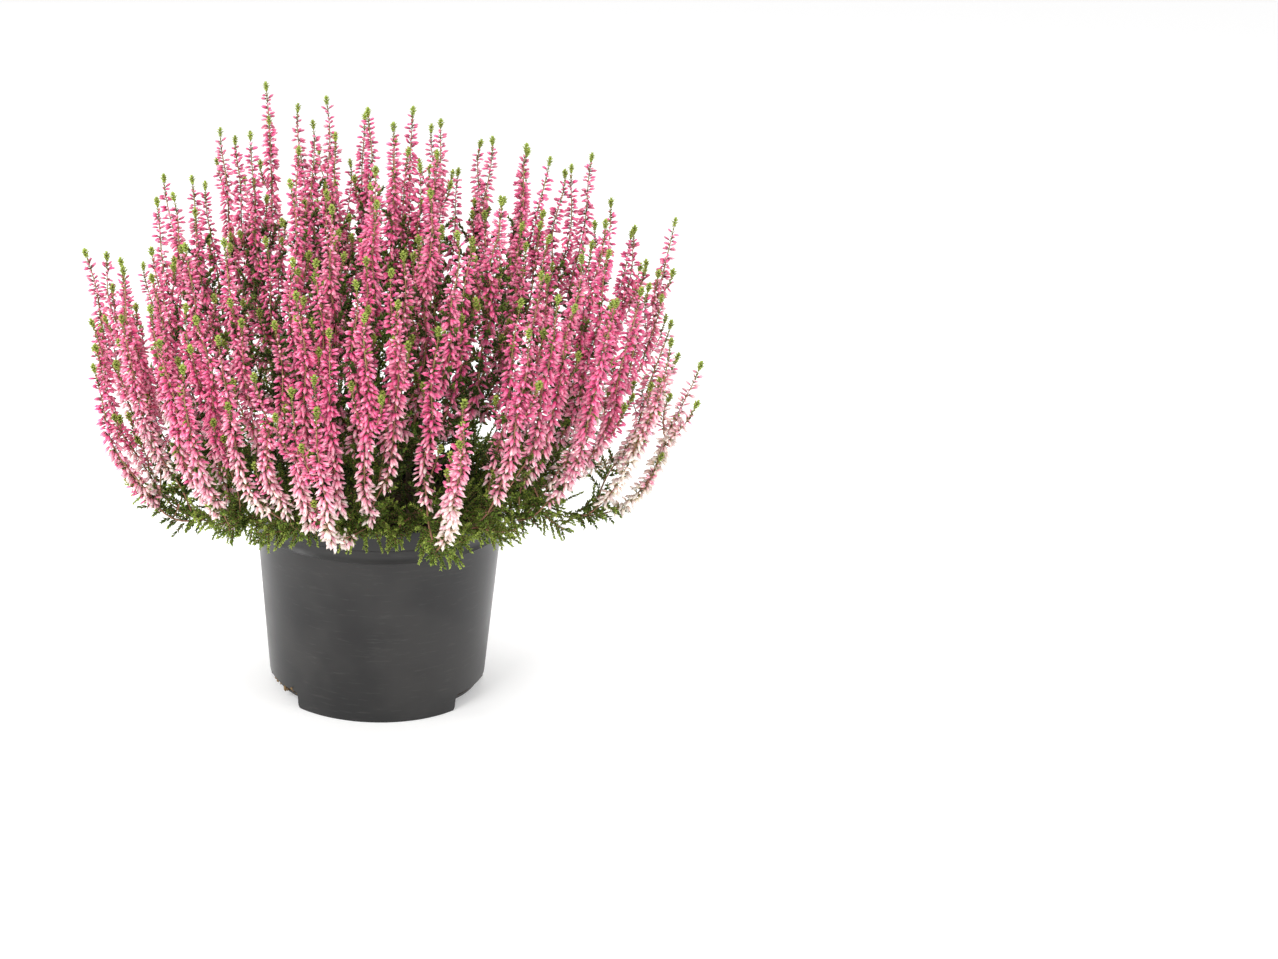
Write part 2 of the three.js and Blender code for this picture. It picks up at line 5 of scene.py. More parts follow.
import bpy
import numpy as np
from mathutils import Matrix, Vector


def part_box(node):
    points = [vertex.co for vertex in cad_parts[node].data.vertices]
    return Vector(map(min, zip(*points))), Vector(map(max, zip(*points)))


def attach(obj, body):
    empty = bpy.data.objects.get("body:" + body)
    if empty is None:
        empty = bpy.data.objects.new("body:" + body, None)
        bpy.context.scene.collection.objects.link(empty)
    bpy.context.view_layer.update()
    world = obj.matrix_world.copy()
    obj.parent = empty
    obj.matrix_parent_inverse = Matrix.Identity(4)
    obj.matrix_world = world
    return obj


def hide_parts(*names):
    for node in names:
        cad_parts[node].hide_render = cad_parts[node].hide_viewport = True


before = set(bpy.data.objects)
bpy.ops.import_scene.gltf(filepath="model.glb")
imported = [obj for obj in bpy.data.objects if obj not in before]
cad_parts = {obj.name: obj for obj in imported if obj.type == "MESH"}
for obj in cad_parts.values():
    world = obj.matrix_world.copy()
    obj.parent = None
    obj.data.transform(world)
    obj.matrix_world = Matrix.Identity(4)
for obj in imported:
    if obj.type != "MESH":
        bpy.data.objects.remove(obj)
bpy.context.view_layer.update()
metre = 0.001  # metres in a millimetre
potHigh = np.array(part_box("pot")[1]) / metre

pot = {
    "rimRadius": potHigh[0],
    "height": potHigh[2],
    "bandHeight": 9.0,  # plain band of the rim
    "bandStep": 1.1,
    "bandUndercut": 0.8,
    "lineHeight": 82.6,  # crisp line under the neck
    "lineRadius": 59.5,
    "lineStep": 0.7,
    "lineLip": 0.4,
    "shoulder": (0.6, 3.0),  # in and up from the line to the neck
    "footRadius": 52.8,
    "wall": 1.3,
    "plateBottom": 4.2,
    "plateTop": 5.6,
    "notchHeight": 8.2,
    "notchWidth": 42.0,
    "notchCorner": 2.0,
    "notchFlare": 2.2,  # radius at the lower ends of its sides
    "notchDepth": 2.4,
    "notchPast": 6.0,  # how far its cutter runs out past the foot
    "notchUnder": 1.0,
    "notchColumns": 33,
    "flareColumns": 6,
    "notchTurns": [-69, 69, 180],  # degrees from the front, positive to the right
    "around": 132,
    "longestStep": 6.0,
    "sharpDeg": 38,
}
potSlope = (pot["lineRadius"] - pot["footRadius"]) / pot["lineHeight"]

soil = {
    "top": 87.5,
    "dome": 1.5,
    "holeDepth": 11.0,  # how deep the stems stand in it
    "gap": 0.35,
    "around": 108,
    "rows": 30,
    "bottomShare": 0.98,
    "bottomRise": 0.4,
    "lump": 1.3,
    "lumpWave": 0.22,
    "grain": 0.45,
    "grainWave": 1.4,
    "flatEdge": (1.0, 0.93),
    "edgeDrop": 0.4,
    "crumbs": 140,
    "crumbReach": 56,
    "crumbSides": 5,
    "crumbsUp": 0.6,
    "crumbSize": (0.6, 1.7),
    "looseBits": 34,  # they show in the left drain notch
    "looseTurns": (-80, -50),
    "looseOut": (49.6, 51.6),
    "looseUp": (5.0, 7.6),
    "looseSize": (0.8, 2.2),
    "crumbShape": (0, 0.45, 0.6, 0.42, 0),
    "crumbSpread": (0.7, 1.2),
}

plant = {
    "branches": 28,
    "frontWeight": 0.6,  # how much sooner the outer lines become main ones
    "rearWeight": 0.25,
    "leastApart": 0.115,
    "settling": 24,
    "settleShare": 0.8,
    "gap": 0.35,
    "rimShare": 0.96,
    "rimPassed": (0.26, 0.5),
    "liftHeight": 75.0,  # the innermost lines rise this much more
    "liftUntil": 0.45,
    "leastShare": 0.42,
    "halvings": 40,
    "flowersFrom": 0.4,
    "backSteps": 240,
    "pathPoints": 81,
    "seed": 11,
}

# The eye, the height it looks at, and where along its lines of sight the crown is looked for
sight = {"distance": 984.0, "tiltDeg": 18.0, "lookHeight": 104.6, "near": 700, "far": 1150}

# Green tips as seen from the front: across and up from the middle of the rim, row by row from the top
sightings = np.array([
    (-58, 196), (-39, 186), (-31, 190), (-12, 184), (5, 178), (24, 177), (-79, 174), (-66, 172),
    (-43, 165), (-25, 172), (0, 155), (9, 167), (14, 160), (25, 160), (47, 170), (77, 162), (101, 164),
    (-111, 139), (-106, 151), (-101, 142), (-94, 150), (-94, 134), (-46, 145), (-28, 144), (-19, 150),
    (-5, 142), (2, 147), (23, 145), (50, 135), (57, 144), (63, 142), (111, 142), (107, 132), (140, 134),
    (-144, 114), (-134, 112), (-128, 109), (-115, 113), (-104, 115), (-77, 123), (-76, 114), (-57, 121),
    (-46, 111), (-22, 132), (2, 120), (19, 126), (24, 132), (36, 125), (42, 122), (64, 121), (69, 129),
    (86, 119), (95, 113), (115, 113), (-124, 106), (-118, 100), (-37, 97), (-34, 107), (-14, 105),
    (-10, 110), (-1, 108), (11, 91), (69, 92), (79, 104), (89, 97), (94, 88), (98, 101), (115, 95),
    (121, 102), (127, 98), (-136, 82), (-127, 84), (-112, 88), (-107, 71), (-95, 86), (-86, 82),
    (-81, 76), (-74, 77), (-44, 81), (-31, 77), (-14, 86), (27, 76), (80, 84), (135, 78), (143, 80),
    (146, 68), (-134, 61), (-94, 61), (-57, 55), (-37, 51), (41, 47), (-33, 43), (36, 32),
], float)

crown = {
    "base": 150.0,
    "rise": 137.0,
    "radius": 148.0,
    "power": 2.4,
    "steepness": 3,
    "depthLow": 28.0,
    "depthHigh": 125.0,
    "lowRow": 100.0,
    "highRow": 145.0,
    "innerPart": (120, 80),  # hidden stems lie within the second distance from the axis
}
rear = {"count": 34, "foremost": 0.0, "reach": 0.97, "tries": 16, "heightSpread": 26.0}

# The outermost stem, as distance from the axis and height, from the soil up
course = np.array([
    (40, 82), (40.5, 92), (49, 102.5), (70, 105.5), (88, 104), (106, 114), (124, 142), (135, 182),
    (142, 222), (147, 262), (150, 302),
], float)

spike = {
    "length": (92.0, 122.0),
    "radius": (5.0, 5.8),
    "topShare": 0.72,
    "narrowsFrom": 0.5,
    "footRadius": 1.3,
    "ringStep": 16.0,
    "merge": 0.12,
    "mainMerge": 0.001,
    "sideAfter": 0.025,
    "neck": 1.0,
    "neckLength": 5.0,
    "tipRadius": 2.1,
    "tipLength": 3.0,
    "stemStep": 4.5,
    "stemLeast": 6,
    "stemSides": 4,
}
shoot = {
    "inner": 2,
    "outer": 3,
    "skirtFrom": 0.7,
    "radius": 3.3,
    "footRadius": 1.2,
    "endShare": 0.7,
    "ringStep": 11.0,
    "length": (22.0, 36.0),
    "shareStep": 0.01,
    "sideways": (0.1, 0.24),
    "outward": (0.02, 0.16),
    "inward": (-0.08, 0.08),
    "firstShare": 0.2,
    "beforeFlowers": 0.03,
    "placeSpread": 0.5,
    "tries": 12,
    "mostPerBranch": 8,
    "leastRoom": 0.9,
    "nearby": 150,
}
stem = {"woodRadius": 1.5, "leafRadius": 2.5, "leafFrom": 101.0, "sides": 8}


# Layout of the stems

# A fixed draw between 0 and 1: the fraction of a fast sine
def draw(index, salt):
    wave = np.sin(index * 12.9898 + salt * 78.233) * 43758.5453
    return wave - np.floor(wave)


# The value a share t of the way from a to b
def mix(a, b, t):
    return a + (b - a) * t


# Smooth step from 0 at low to 1 at high
def ease(low, high, t):
    u = np.clip((t - low) / (high - low), 0, 1)
    return u * u * (3 - 2 * u)


def unit(vectors):
    return vectors / np.maximum(np.linalg.norm(vectors, axis=-1, keepdims=True), 1e-9)


# Distances walked along a line of points, from 0 at its first point
def lengthsAlong(points):
    return np.concatenate([[0], np.cumsum(np.linalg.norm(np.diff(points, axis=0), axis=1))])


# Directions square to a stem, at an angle round it: side times the cosine plus up times the sine
def roundStem(side, up, turn):
    return side * np.cos(turn)[:, None] + up * np.sin(turn)[:, None]


# Smooth curve through the course's points (Catmull-Rom), for any array of shares from 0 to 1
def courseAt(share):
    last = len(course) - 1
    place = np.clip(share, 0, 1) * last
    i = np.minimum(np.floor(place).astype(int), last - 1)
    t = (place - i)[..., None]
    p0 = course[np.maximum(i - 1, 0)]
    p1 = course[i]
    p2 = course[i + 1]
    p3 = course[np.minimum(i + 2, last)]
    bend = (2 * p0 - 5 * p1 + 4 * p2 - p3) * t * t
    twist = (3 * p1 - p0 - 3 * p2 + p3) * t * t * t
    return 0.5 * (2 * p1 + (p2 - p0) * t + bend + twist)


# How much higher than the course the line in the middle of the plant runs at a share of its way
def liftAt(share):
    return plant["liftHeight"] * ease(0, plant["liftUntil"], share)


# The place of a label at a share of its course: the label times the reach, and the height plus the lift
def placeAt(labels, share):
    share = np.asarray(share, float)
    point = courseAt(share)
    out = np.hypot(labels[..., 0], labels[..., 1])
    held = np.minimum(out, plant["rimShare"]) / np.maximum(out, 1e-6)
    free = mix(held, 1, ease(*plant["rimPassed"], share))
    height = point[..., 1] + (1 - out * free) * liftAt(share)
    across = labels * (free * point[..., 0])[..., None]
    return np.concatenate([across, height[..., None]], -1)


# The label and share of the stem line through each point. The share is found by halving: where the line
# as far out as the point runs under it, the share is larger
def linesThrough(points):
    out = np.hypot(points[:, 0], points[:, 1])
    low = np.full(len(points), plant["leastShare"])
    high = np.ones(len(points))
    for _ in range(plant["halvings"]):
        share = (low + high) / 2
        reach, height = courseAt(share).T
        under = height + (1 - out / reach) * liftAt(share) < points[:, 2]
        low = np.where(under, share, low)
        high = np.where(under, high, share)
    share = (low + high) / 2
    return points[:, :2] / courseAt(share)[:, :1], share


# Height of the crown over a point: the base, plus the rise times the root of 1 minus a power of the
# distance in radii, less a steep fall outside the radius
def crownHeight(points):
    out = np.hypot(points[..., 0], points[..., 1]) / crown["radius"]
    inside = np.maximum(0, 1 - out ** crown["power"])
    outside = np.maximum(0, out - 1) * crown["steepness"] * crown["radius"]
    return crown["base"] + crown["rise"] * np.sqrt(inside) - outside


# A tip seen from the front lies where the line of sight first meets the crown, or a little deeper
def sightedTips():
    tilt = math.radians(sight["tiltDeg"])
    back = sight["distance"] * math.cos(tilt)
    rise = sight["distance"] * math.sin(tilt)
    eye = np.array([0, -back, sight["lookHeight"] + rise])
    across, up = sightings.T
    seen = np.stack([across, up * math.sin(tilt), pot["height"] + up * math.cos(tilt)], 1)
    ray = unit(seen - eye)
    steps = np.arange(sight["near"], sight["far"])
    points = eye + ray[:, None] * steps[:, None]
    above = points[..., 2] - crownHeight(points)
    met = np.where((above < 0).any(1), (above < 0).argmax(1), len(steps) - 1)
    above[np.arange(len(steps)) > met[:, None]] = np.inf
    along = steps[above.argmin(1)]
    inner = np.maximum(0, 1 - (np.abs(across) / crown["radius"]) ** 2)
    depth = mix(crown["depthLow"], crown["depthHigh"], ease(crown["lowRow"], crown["highRow"], up))
    deeper = depth * inner * draw(np.arange(len(up)), 1)
    return eye + ray * (along + deeper)[:, None]


# The rest of the crown: each new tip is the one of a few draws that is furthest from all others
def rearTips(tips):
    for n in range(rear["count"]):
        k = n * rear["tries"] + np.arange(rear["tries"])
        turn = 2 * np.pi * draw(k, 2)
        out = crown["radius"] * rear["reach"] * np.sqrt(draw(k, 3))
        spots = np.stack([out * np.cos(turn), out * np.sin(turn)], 1)
        spots = spots[spots[:, 1] >= rear["foremost"]]
        apart = np.linalg.norm(spots[:, None] - tips[None, :, :2], axis=-1).min(1)
        best = spots[apart.argmax()]
        height = crownHeight(best) - rear["heightSpread"] * draw(n, 4)
        tips = np.vstack([tips, [*best, height]])
    return tips


# Labels pushed apart a little where two stem lines would run too close, each by half of what is missing
def settled(labels):
    for _ in range(plant["settling"]):
        between = labels[:, None] - labels[None]
        apart = np.linalg.norm(between, axis=-1)
        close = (apart < plant["leastApart"]) & (apart > 0)
        push = np.where(close, 0.5 * (plant["leastApart"] - apart) / np.maximum(apart, 1e-6), 0)
        labels = labels + plant["settleShare"] * (between * push[..., None]).sum(1)
    return labels


# The first branch is the middle one, and each further one is far from those picked before
def pickMains(labels):
    out = np.hypot(*labels.T)
    weights = 1 + out**2 * np.where(labels[:, 1] < 0, plant["frontWeight"], plant["rearWeight"])
    apart = np.full(len(labels), np.inf)
    mains = []
    pick = int(out.argmin())
    while len(mains) < plant["branches"]:
        mains.append(pick)
        apart = np.minimum(apart, np.linalg.norm(labels - labels[pick], axis=1))
        pick = int((apart * weights).argmax())
    return mains


# Walk back from the tip in small steps until the flowering length is used up
def shareBack(label, tipShare, length):
    steps = plant["backSteps"]
    shares = tipShare - np.arange(steps) / steps
    shares = shares[shares > -1 / steps]
    points = placeAt(np.repeat(label[None], len(shares), 0), shares)
    reached = np.flatnonzero(lengthsAlong(points) >= length)
    return max(float(shares[reached[0] if len(reached) else -1]), 0.0)


# A strand between two shares whose label glides from home to its own, as a fine line and as stations
def strandPath(home, own, start, end, glideTo, step, leadOut):
    share = mix(start, end, np.linspace(0, 1, plant["pathPoints"]))
    left = 1 - np.clip((share - start) / (glideTo - start), 0, 1)
    fine = placeAt(mix(home, own, (1 - left * left)[:, None]), share)
    lengths = lengthsAlong(fine)
    body = lengths[-1] - sum(leadOut)
    rings = max(2, math.floor(body / step + 0.5))
    stations = np.concatenate([body * np.arange(rings + 1) / rings, body + np.cumsum(leadOut)])
    points = np.stack([np.interp(stations, lengths, fine[:, k]) for k in range(3)], 1)
    return {"fine": fine, "lengths": lengths, "points": points, "bodyRings": rings + 1}


# The strand of a flower spike, from where its branch begins to flower, or a little later for a side line,
# to its own tip
def flowerStrand(main, line):
    isMain = line is main
    start = main["flowerFrom"] if isMain else max(line["from"], main["flowerFrom"] + spike["sideAfter"])
    glideTo = start + spike["mainMerge"] if isMain else min(start + spike["merge"], line["share"])
    step = spike["ringStep"]
    leadOut = [spike["neckLength"], spike["tipLength"]]
    strand = strandPath(main["label"], line["label"], start, line["share"], glideTo, step, leadOut)
    size = mix(*spike["radius"], draw(line["index"], 6))
    rings = strand["bodyRings"]
    along = np.arange(len(strand["points"])) / (rings - 1)
    radii = size * mix(1, spike["topShare"], ease(spike["narrowsFrom"], 1, along))
    radii[rings:] = [spike["neck"], spike["tipRadius"]]
    if not isMain:
        radii[0] = spike["footRadius"]
    turn = math.pi * draw(line["index"], 7)
    strand.update(kind="flowers", branch=line["branch"], line=line)
    strand.update(isMain=isMain, radii=radii, turn=turn)
    return strand


# The leafy stem of a branch, from its foot sunk in the soil to where it begins to flower
def stemStrand(main):
    strand = strandPath(main["label"], main["label"], 0, main["flowerFrom"], 1, shoot["ringStep"], [])
    foot = strand["fine"][:1] * 1.0
    foot[0, 2] = soil["top"] - soil["holeDepth"] + soil["gap"]
    strand["points"] = np.vstack([foot, strand["points"]])
    radii = np.where(strand["points"][:, 2] < stem["leafFrom"], stem["woodRadius"], stem["leafRadius"])
    turn = math.pi * draw(main["index"], 8)
    strand.update(kind="leafy_branch", branch=main["branch"], line=main)
    strand.update(isMain=True, radii=radii, turn=turn)
    return strand


# One draw of a leafy side shoot: it leaves the stem at its turn, glides outward and aside, and its end
# share grows step by step until it is long enough
def shootStrand(main, k, count, attempt):
    seed = (main["branch"] * shoot["mostPerBranch"] + k) * shoot["tries"] + attempt
    label = main["label"]
    out = np.hypot(*label)
    away = mix(*(shoot["outward"] if out > shoot["skirtFrom"] else shoot["inward"]), draw(seed, 9))
    hand = 1 if (k + attempt) % 2 == 0 else -1
    aside = hand * mix(*shoot["sideways"], draw(seed, 10))
    own = label + label / out * away + np.array([-label[1], label[0]]) / out * aside
    place = (k + shoot["placeSpread"] * draw(seed, 11)) / count
    start = mix(shoot["firstShare"], main["flowerFrom"] - shoot["beforeFlowers"], place)
    length = mix(*shoot["length"], draw(seed, 12))
    end = start + 2 * shoot["shareStep"]
    total = 0
    while total == 0 or (total < length and end < 1):
        end += shoot["shareStep"]
        strand = strandPath(label, own, start, end, end, shoot["ringStep"], [])
        total = strand["lengths"][-1]
    radii = np.full(len(strand["points"]), shoot["radius"])
    radii[0] = shoot["footRadius"]
    radii[-1] *= shoot["endShare"]
    turn = math.pi * draw(seed, 13)
    strand.update(kind="leafy_branch", branch=main["branch"], line=main)
    strand.update(isMain=False, radii=radii, turn=turn)
    return strand


# Half of the way from each point to the nearest strand, of the same node or of all other nodes
def roomAround(points, strand, strands, sameNode):
    room = np.full(len(points), np.inf)
    for other in strands:
        same = (other["kind"], other["branch"]) == (strand["kind"], strand["branch"])
        if other is strand or same != sameNode:
            continue
        if other["branch"] == strand["branch"] and other["isMain"] and strand["isMain"]:
            continue
        nodes = other["points"][1 if sameNode and not other["isMain"] else 0:]
        along = np.diff(nodes, axis=0)
        fromStart = points[:, None] - nodes[None, :-1]
        t = np.clip((fromStart * along).sum(-1) / (along**2).sum(-1), 0, 1)
        room = np.minimum(room, np.linalg.norm(fromStart - along * t[..., None], axis=-1).min(1))
    return (room - plant["gap"]) / 2


# The roomiest of a few draws for one side shoot, or none where all are cramped
def roomiestShoot(main, k, count, strands):
    near = []
    for other in strands:
        if np.linalg.norm(other["points"].mean(0) - main["middle"]) < shoot["nearby"]:
            near.append(other)
    best = None
    bestRoom = -np.inf
    for attempt in range(shoot["tries"]):
        tried = shootStrand(main, k, count, attempt)
        points = tried["points"]
        between = (points[1:] + points[:-1]) / 2
        others = roomAround(np.vstack([points[1:], between]), tried, near, False).min()
        own = roomAround(points[1:], tried, near, True) + np.where(np.arange(len(points) - 1) == 0, 1, 0)
        room = min(shoot["radius"], others, own.min())
        if room > bestRoom:
            best = tried
            bestRoom = room
    return best if bestRoom > shoot["leastRoom"] else None


# All strands of the plant: a line through each tip, branches of lines near one main line, and for each
# branch its spikes, its stem and its side shoots
def layOutPlant():
    labels, shares = linesThrough(rearTips(sightedTips()))
    labels = settled(labels)
    mainIndices = pickMains(labels)
    branches = np.linalg.norm(labels[:, None] - labels[mainIndices][None], axis=-1).argmin(1)
    lines = []
    for i, (label, share) in enumerate(zip(labels, shares)):
        back = shareBack(label, share, mix(*spike["length"], draw(i, 5)))
        line = {"index": i, "label": label, "share": share, "branch": int(branches[i])}
        line["from"] = max(back, plant["flowersFrom"])
        lines.append(line)
    strands = []
    mains = [lines[i] for i in mainIndices]
    for main in mains:
        members = [line for line in lines if line["branch"] == main["branch"]]
        main["flowerFrom"] = min(line["from"] for line in members)
        main["middle"] = placeAt(main["label"], main["flowerFrom"] / 2)
        strands += [flowerStrand(main, line) for line in members] + [stemStrand(main)]
    for main in mains:
        count = shoot["outer"] if np.hypot(*main["label"]) > shoot["skirtFrom"] else shoot["inner"]
        for k in range(count):
            best = roomiestShoot(main, k, count, strands)
            if best:
                strands.append(best)
    return strands


# Shapes made of whole arrays

# Copies of one small closed shape, joined later with all others of its piece
def packShape(vertices, faces, look, material):
    count, corners = vertices.shape[:2]
    shifted = faces[None] + (np.arange(count) * corners)[:, None, None]
    return vertices.reshape(-1, 3), shifted.reshape(-1, 3), look.reshape(-1, 3), material


# Triangles of a closed tube of rings between a first and a last single point
def tubeFaces(rings, sides):
    k = np.arange(sides)
    after = (k + 1) % sides
    first = np.stack([np.zeros(sides, int), 1 + after, 1 + k], 1)
    bands = []
    for j in range(rings - 1):
        a, b = 1 + j * sides + k, 1 + j * sides + after
        bands += [np.stack([a, b, a + sides], 1), np.stack([b, b + sides, a + sides], 1)]
    top = 1 + (rings - 1) * sides
    last = np.stack([top + k, top + after, np.full(sides, 1 + rings * sides)], 1)
    return np.vstack([first, *bands, last])


# Directions that no tube runs along, to set its rings by
slanted = np.array([[0.3, 0.2, 0.93]])
steep = np.array([[0.2, 0.35, 0.91]])
level = np.array([[0.6, 0.8, 0.0]])


# Tubes along many paths at once: a ring round every inner point, and the first and last points as ends
def tubes(paths, radii, sides, upright, look, material):
    along = unit(np.gradient(paths, axis=1))
    first = unit(np.cross(along, upright[:, None]))
    second = np.cross(along, first)
    angle = 2 * np.pi * np.arange(sides) / sides
    circle = first[:, 1:-1, None] * np.cos(angle)[:, None] + second[:, 1:-1, None] * np.sin(angle)[:, None]
    rings = paths[:, 1:-1, None] + circle * radii[:, 1:-1, None, None]
    count, inner = rings.shape[:2]
    vertices = np.concatenate([paths[:, :1], rings.reshape(count, inner * sides, 3), paths[:, -1:]], 1)
    inside = np.repeat(look[:, 1:-1], sides, 1)
    look = np.concatenate([look[:, :1], inside, look[:, -1:]], 1)
    return packShape(vertices, tubeFaces(inner, sides), look, material)


leaf = {"lift": 0.08, "keel": 0.5, "curl": 0.06}  # shares of its length, of its radius and of its length


# Small keeled leaves: a keel from the foot to the end, and a raised corner on either side of it
def leaves(feet, along, outward, length, radius, look, material, belly=0.5):
    along = unit(along)
    side = unit(np.cross(along, outward))
    face = np.cross(side, along)
    raised = leaf["lift"] * length + leaf["keel"] * radius
    middle = feet + along * (length * belly)[:, None] + face * raised[:, None]
    end = feet + along * length[:, None] + face * (leaf["curl"] * length)[:, None]
    vertices = np.stack([feet, middle + side * radius[:, None], middle - side * radius[:, None], end], 1)
    faces = np.array([[0, 1, 2], [1, 3, 2], [0, 3, 1], [0, 2, 3]])
    spread = np.repeat(look[:, None], 4, 1)
    spread[..., 0] = [0, belly, belly, 1]
    return packShape(vertices, faces, spread, material)


# Points, directions and a pair of cross directions at distances along a strand, straight on past its end
def alongStrand(strand, distance):
    fine, lengths = strand["fine"], strand["lengths"]
    point = np.stack([np.interp(distance, lengths, fine[:, k]) for k in range(3)], -1)
    slope = unit(np.gradient(fine, lengths, axis=0))
    along = unit(np.stack([np.interp(distance, lengths, slope[:, k]) for k in range(3)], -1))
    point = point + along * np.maximum(distance - lengths[-1], 0)[..., None]
    label = strand["line"]["label"]
    facing = np.array([-label[1], label[0], 0]) / max(np.hypot(*label), 1e-6)
    side = unit(facing - along * (along @ facing)[..., None])
    return point, along, side, np.cross(along, side)


bud = {
    "whorlStep": 2.3,
    "whorlTurn": 1.72,
    "bareTop": (4.4, 6.6),  # green stem under the tip before the first buds
    "turns": (0, 1.0, 0.5, 1.5, 0.25, 1.25),  # half turns of the buds of a whorl
    "offsets": (0, 0, 0.5, 0.5, 0.25, 0.75),  # and how far down they stand, in whorl steps
    "starts": (0, 0, 5, 8, 17, 25),  # and how far under the tip each begins
    "placeScatter": 0.4,
    "turnScatter": 0.34,
    "startScatter": 6,
    "missing": 0.05,
    "deep": (54.0, 84.0),  # further than this under the crown a spike has fewer buds and is leafy
    "deepLoss": 0.4,
    "clearOfStem": (1.6, 2.6),  # room to the stem it leaves, beside it and towards it
    "length": (2.9, 3.95),
    "lengthSpread": (0.78, 1.15),
    "belly": (0.68, 0.8),
    "bellySpread": (0.88, 1.12),
    "stalk": (0.55, 0.85),
    "stalkSpread": (0.8, 1.25),
    "stalkLean": 0.45,
    "stalkShare": 0.14,  # of the colours along the bud
    "stemRadius": (0.27, 0.42),
    "grownAt": 45.0,
    "rise": (0.55, 0.0),
    "riseUntil": 30,
    "droop": 0.72,
    "droopOver": (6, 52),
    "droopSpread": (0.35, 1.4),
    "scatter": (0.18, 0.3),
    "rings": ((0.2, 0.8), (0.66, 0.94)),  # share along the bud and share of its belly
    "sides": 4,
    "flatness": 0.9,
    "bend": 0.1,
    "foot": 0.1,
}
bract = {
    "share": 0.34,  # of the buds have a green leaf under them
    "length": (1.5, 2.4),
    "lengthSpread": (0.8, 1.3),
    "radius": 0.42,
    "rise": 0.8,
    "scatter": 0.25,
    "foot": 0.3,
    "youth": (0.15, 0.65),
}
fading = {
    "heights": (186, 108),  # buds fade from the first height down to the second
    "down": (8, 58),
    "least": 0.15,
    "low": 0.76,
    "spray": 0.5,
    "sprayRight": (0.78, 0.98),
    "sprayHeights": (250, 180),
    "own": 0.24,
    "scatter": 0.12,
}
petalMaterial, stalkMaterial, leafMaterial, woodMaterial = 0, 1, 2, 3


# How far a bud has faded from deep pink to cream: a least value, plus shares for buds low on the plant and
# on their spike, for the sprays on the low right, for the spike's own draw and for chance
def fadeAt(points, down, strand, rng):
    low = ease(*fading["heights"], points[:, 2]) * ease(*fading["down"], down)
    label = strand["line"]["label"]
    spray = ease(*fading["sprayRight"], label[0]) * ease(*fading["sprayHeights"], strand["fine"][-1, 2])
    own = draw(strand["line"]["index"], 21) - 0.5
    fade = fading["least"] + fading["low"] * low + fading["spray"] * spray + fading["own"] * own
    return np.clip(fade + rng.normal(0, fading["scatter"], len(down)), 0, 1)


# How deep inside the crown the stem runs at some distances along it, from 0 in the open to 1
def deepInside(strand, distance, depths):
    point = alongStrand(strand, distance.ravel())[0]
    depth = crownHeight(point) - point[:, 2]
    inner = ease(*crown["innerPart"], np.hypot(point[:, 0], point[:, 1]))
    return (ease(*depths, depth) * inner).reshape(distance.shape)


# Places of the buds of one spike: crossed pairs down the stem, fewer of them where it runs deep inside the
# crown, and none in the way of the stem that it leaves
def budPlaces(strand, home, leafyFoot, rng):
    total = strand["lengths"][-1]
    bareTop = mix(*bud["bareTop"], rng.random())
    count = int((total - bareTop - leafyFoot) / bud["whorlStep"])
    whorl = np.repeat(np.arange(count)[:, None], len(bud["turns"]), 1)
    down = bareTop + (whorl + np.array(bud["offsets"])) * bud["whorlStep"]
    down = down + rng.normal(0, bud["placeScatter"], down.shape)
    turn = strand["turn"] + whorl * bud["whorlTurn"] + np.array(bud["turns"]) * math.pi
    turn = turn + rng.normal(0, bud["turnScatter"], down.shape)
    starts = np.array(bud["starts"]) + rng.normal(0, bud["startScatter"], down.shape)
    hidden = deepInside(strand, total - down, bud["deep"])
    keep = (down > starts) & (rng.random(down.shape) > bud["missing"] + bud["deepLoss"] * hidden)
    down = down[keep]
    centre, along, side, up = alongStrand(strand, total - down)
    outward = roundStem(side, up, turn[keep])
    if home is strand:
        return down, centre, along, outward
    offset = centre[:, None] - home["fine"][None]
    near = np.linalg.norm(offset, axis=-1)
    towards = -unit(offset[np.arange(len(centre)), near.argmin(1)])
    beside, facing = bud["clearOfStem"]
    clear = near.min(1) > beside + facing * np.maximum((outward * towards).sum(1), 0)
    return down[clear], centre[clear], along[clear], outward[clear]


# Small green leaves under some of the buds
def bractShapes(centre, along, outward, grown, rng):
    leafy = rng.random(len(centre)) < bract["share"]
    number = int(leafy.sum())
    look = np.stack([np.zeros(number), rng.uniform(*bract["youth"], number), rng.random(number)], 1)
    aim = unit(outward + along * bract["rise"] + rng.normal(0, bract["scatter"], along.shape))
    length = mix(*bract["length"], grown) * rng.uniform(*bract["lengthSpread"], len(grown))
    feet = centre + outward * bract["foot"]
    radius = np.full(number, bract["radius"])
    return leaves(feet[leafy], aim[leafy], along[leafy], length[leafy], radius, look, leafMaterial)


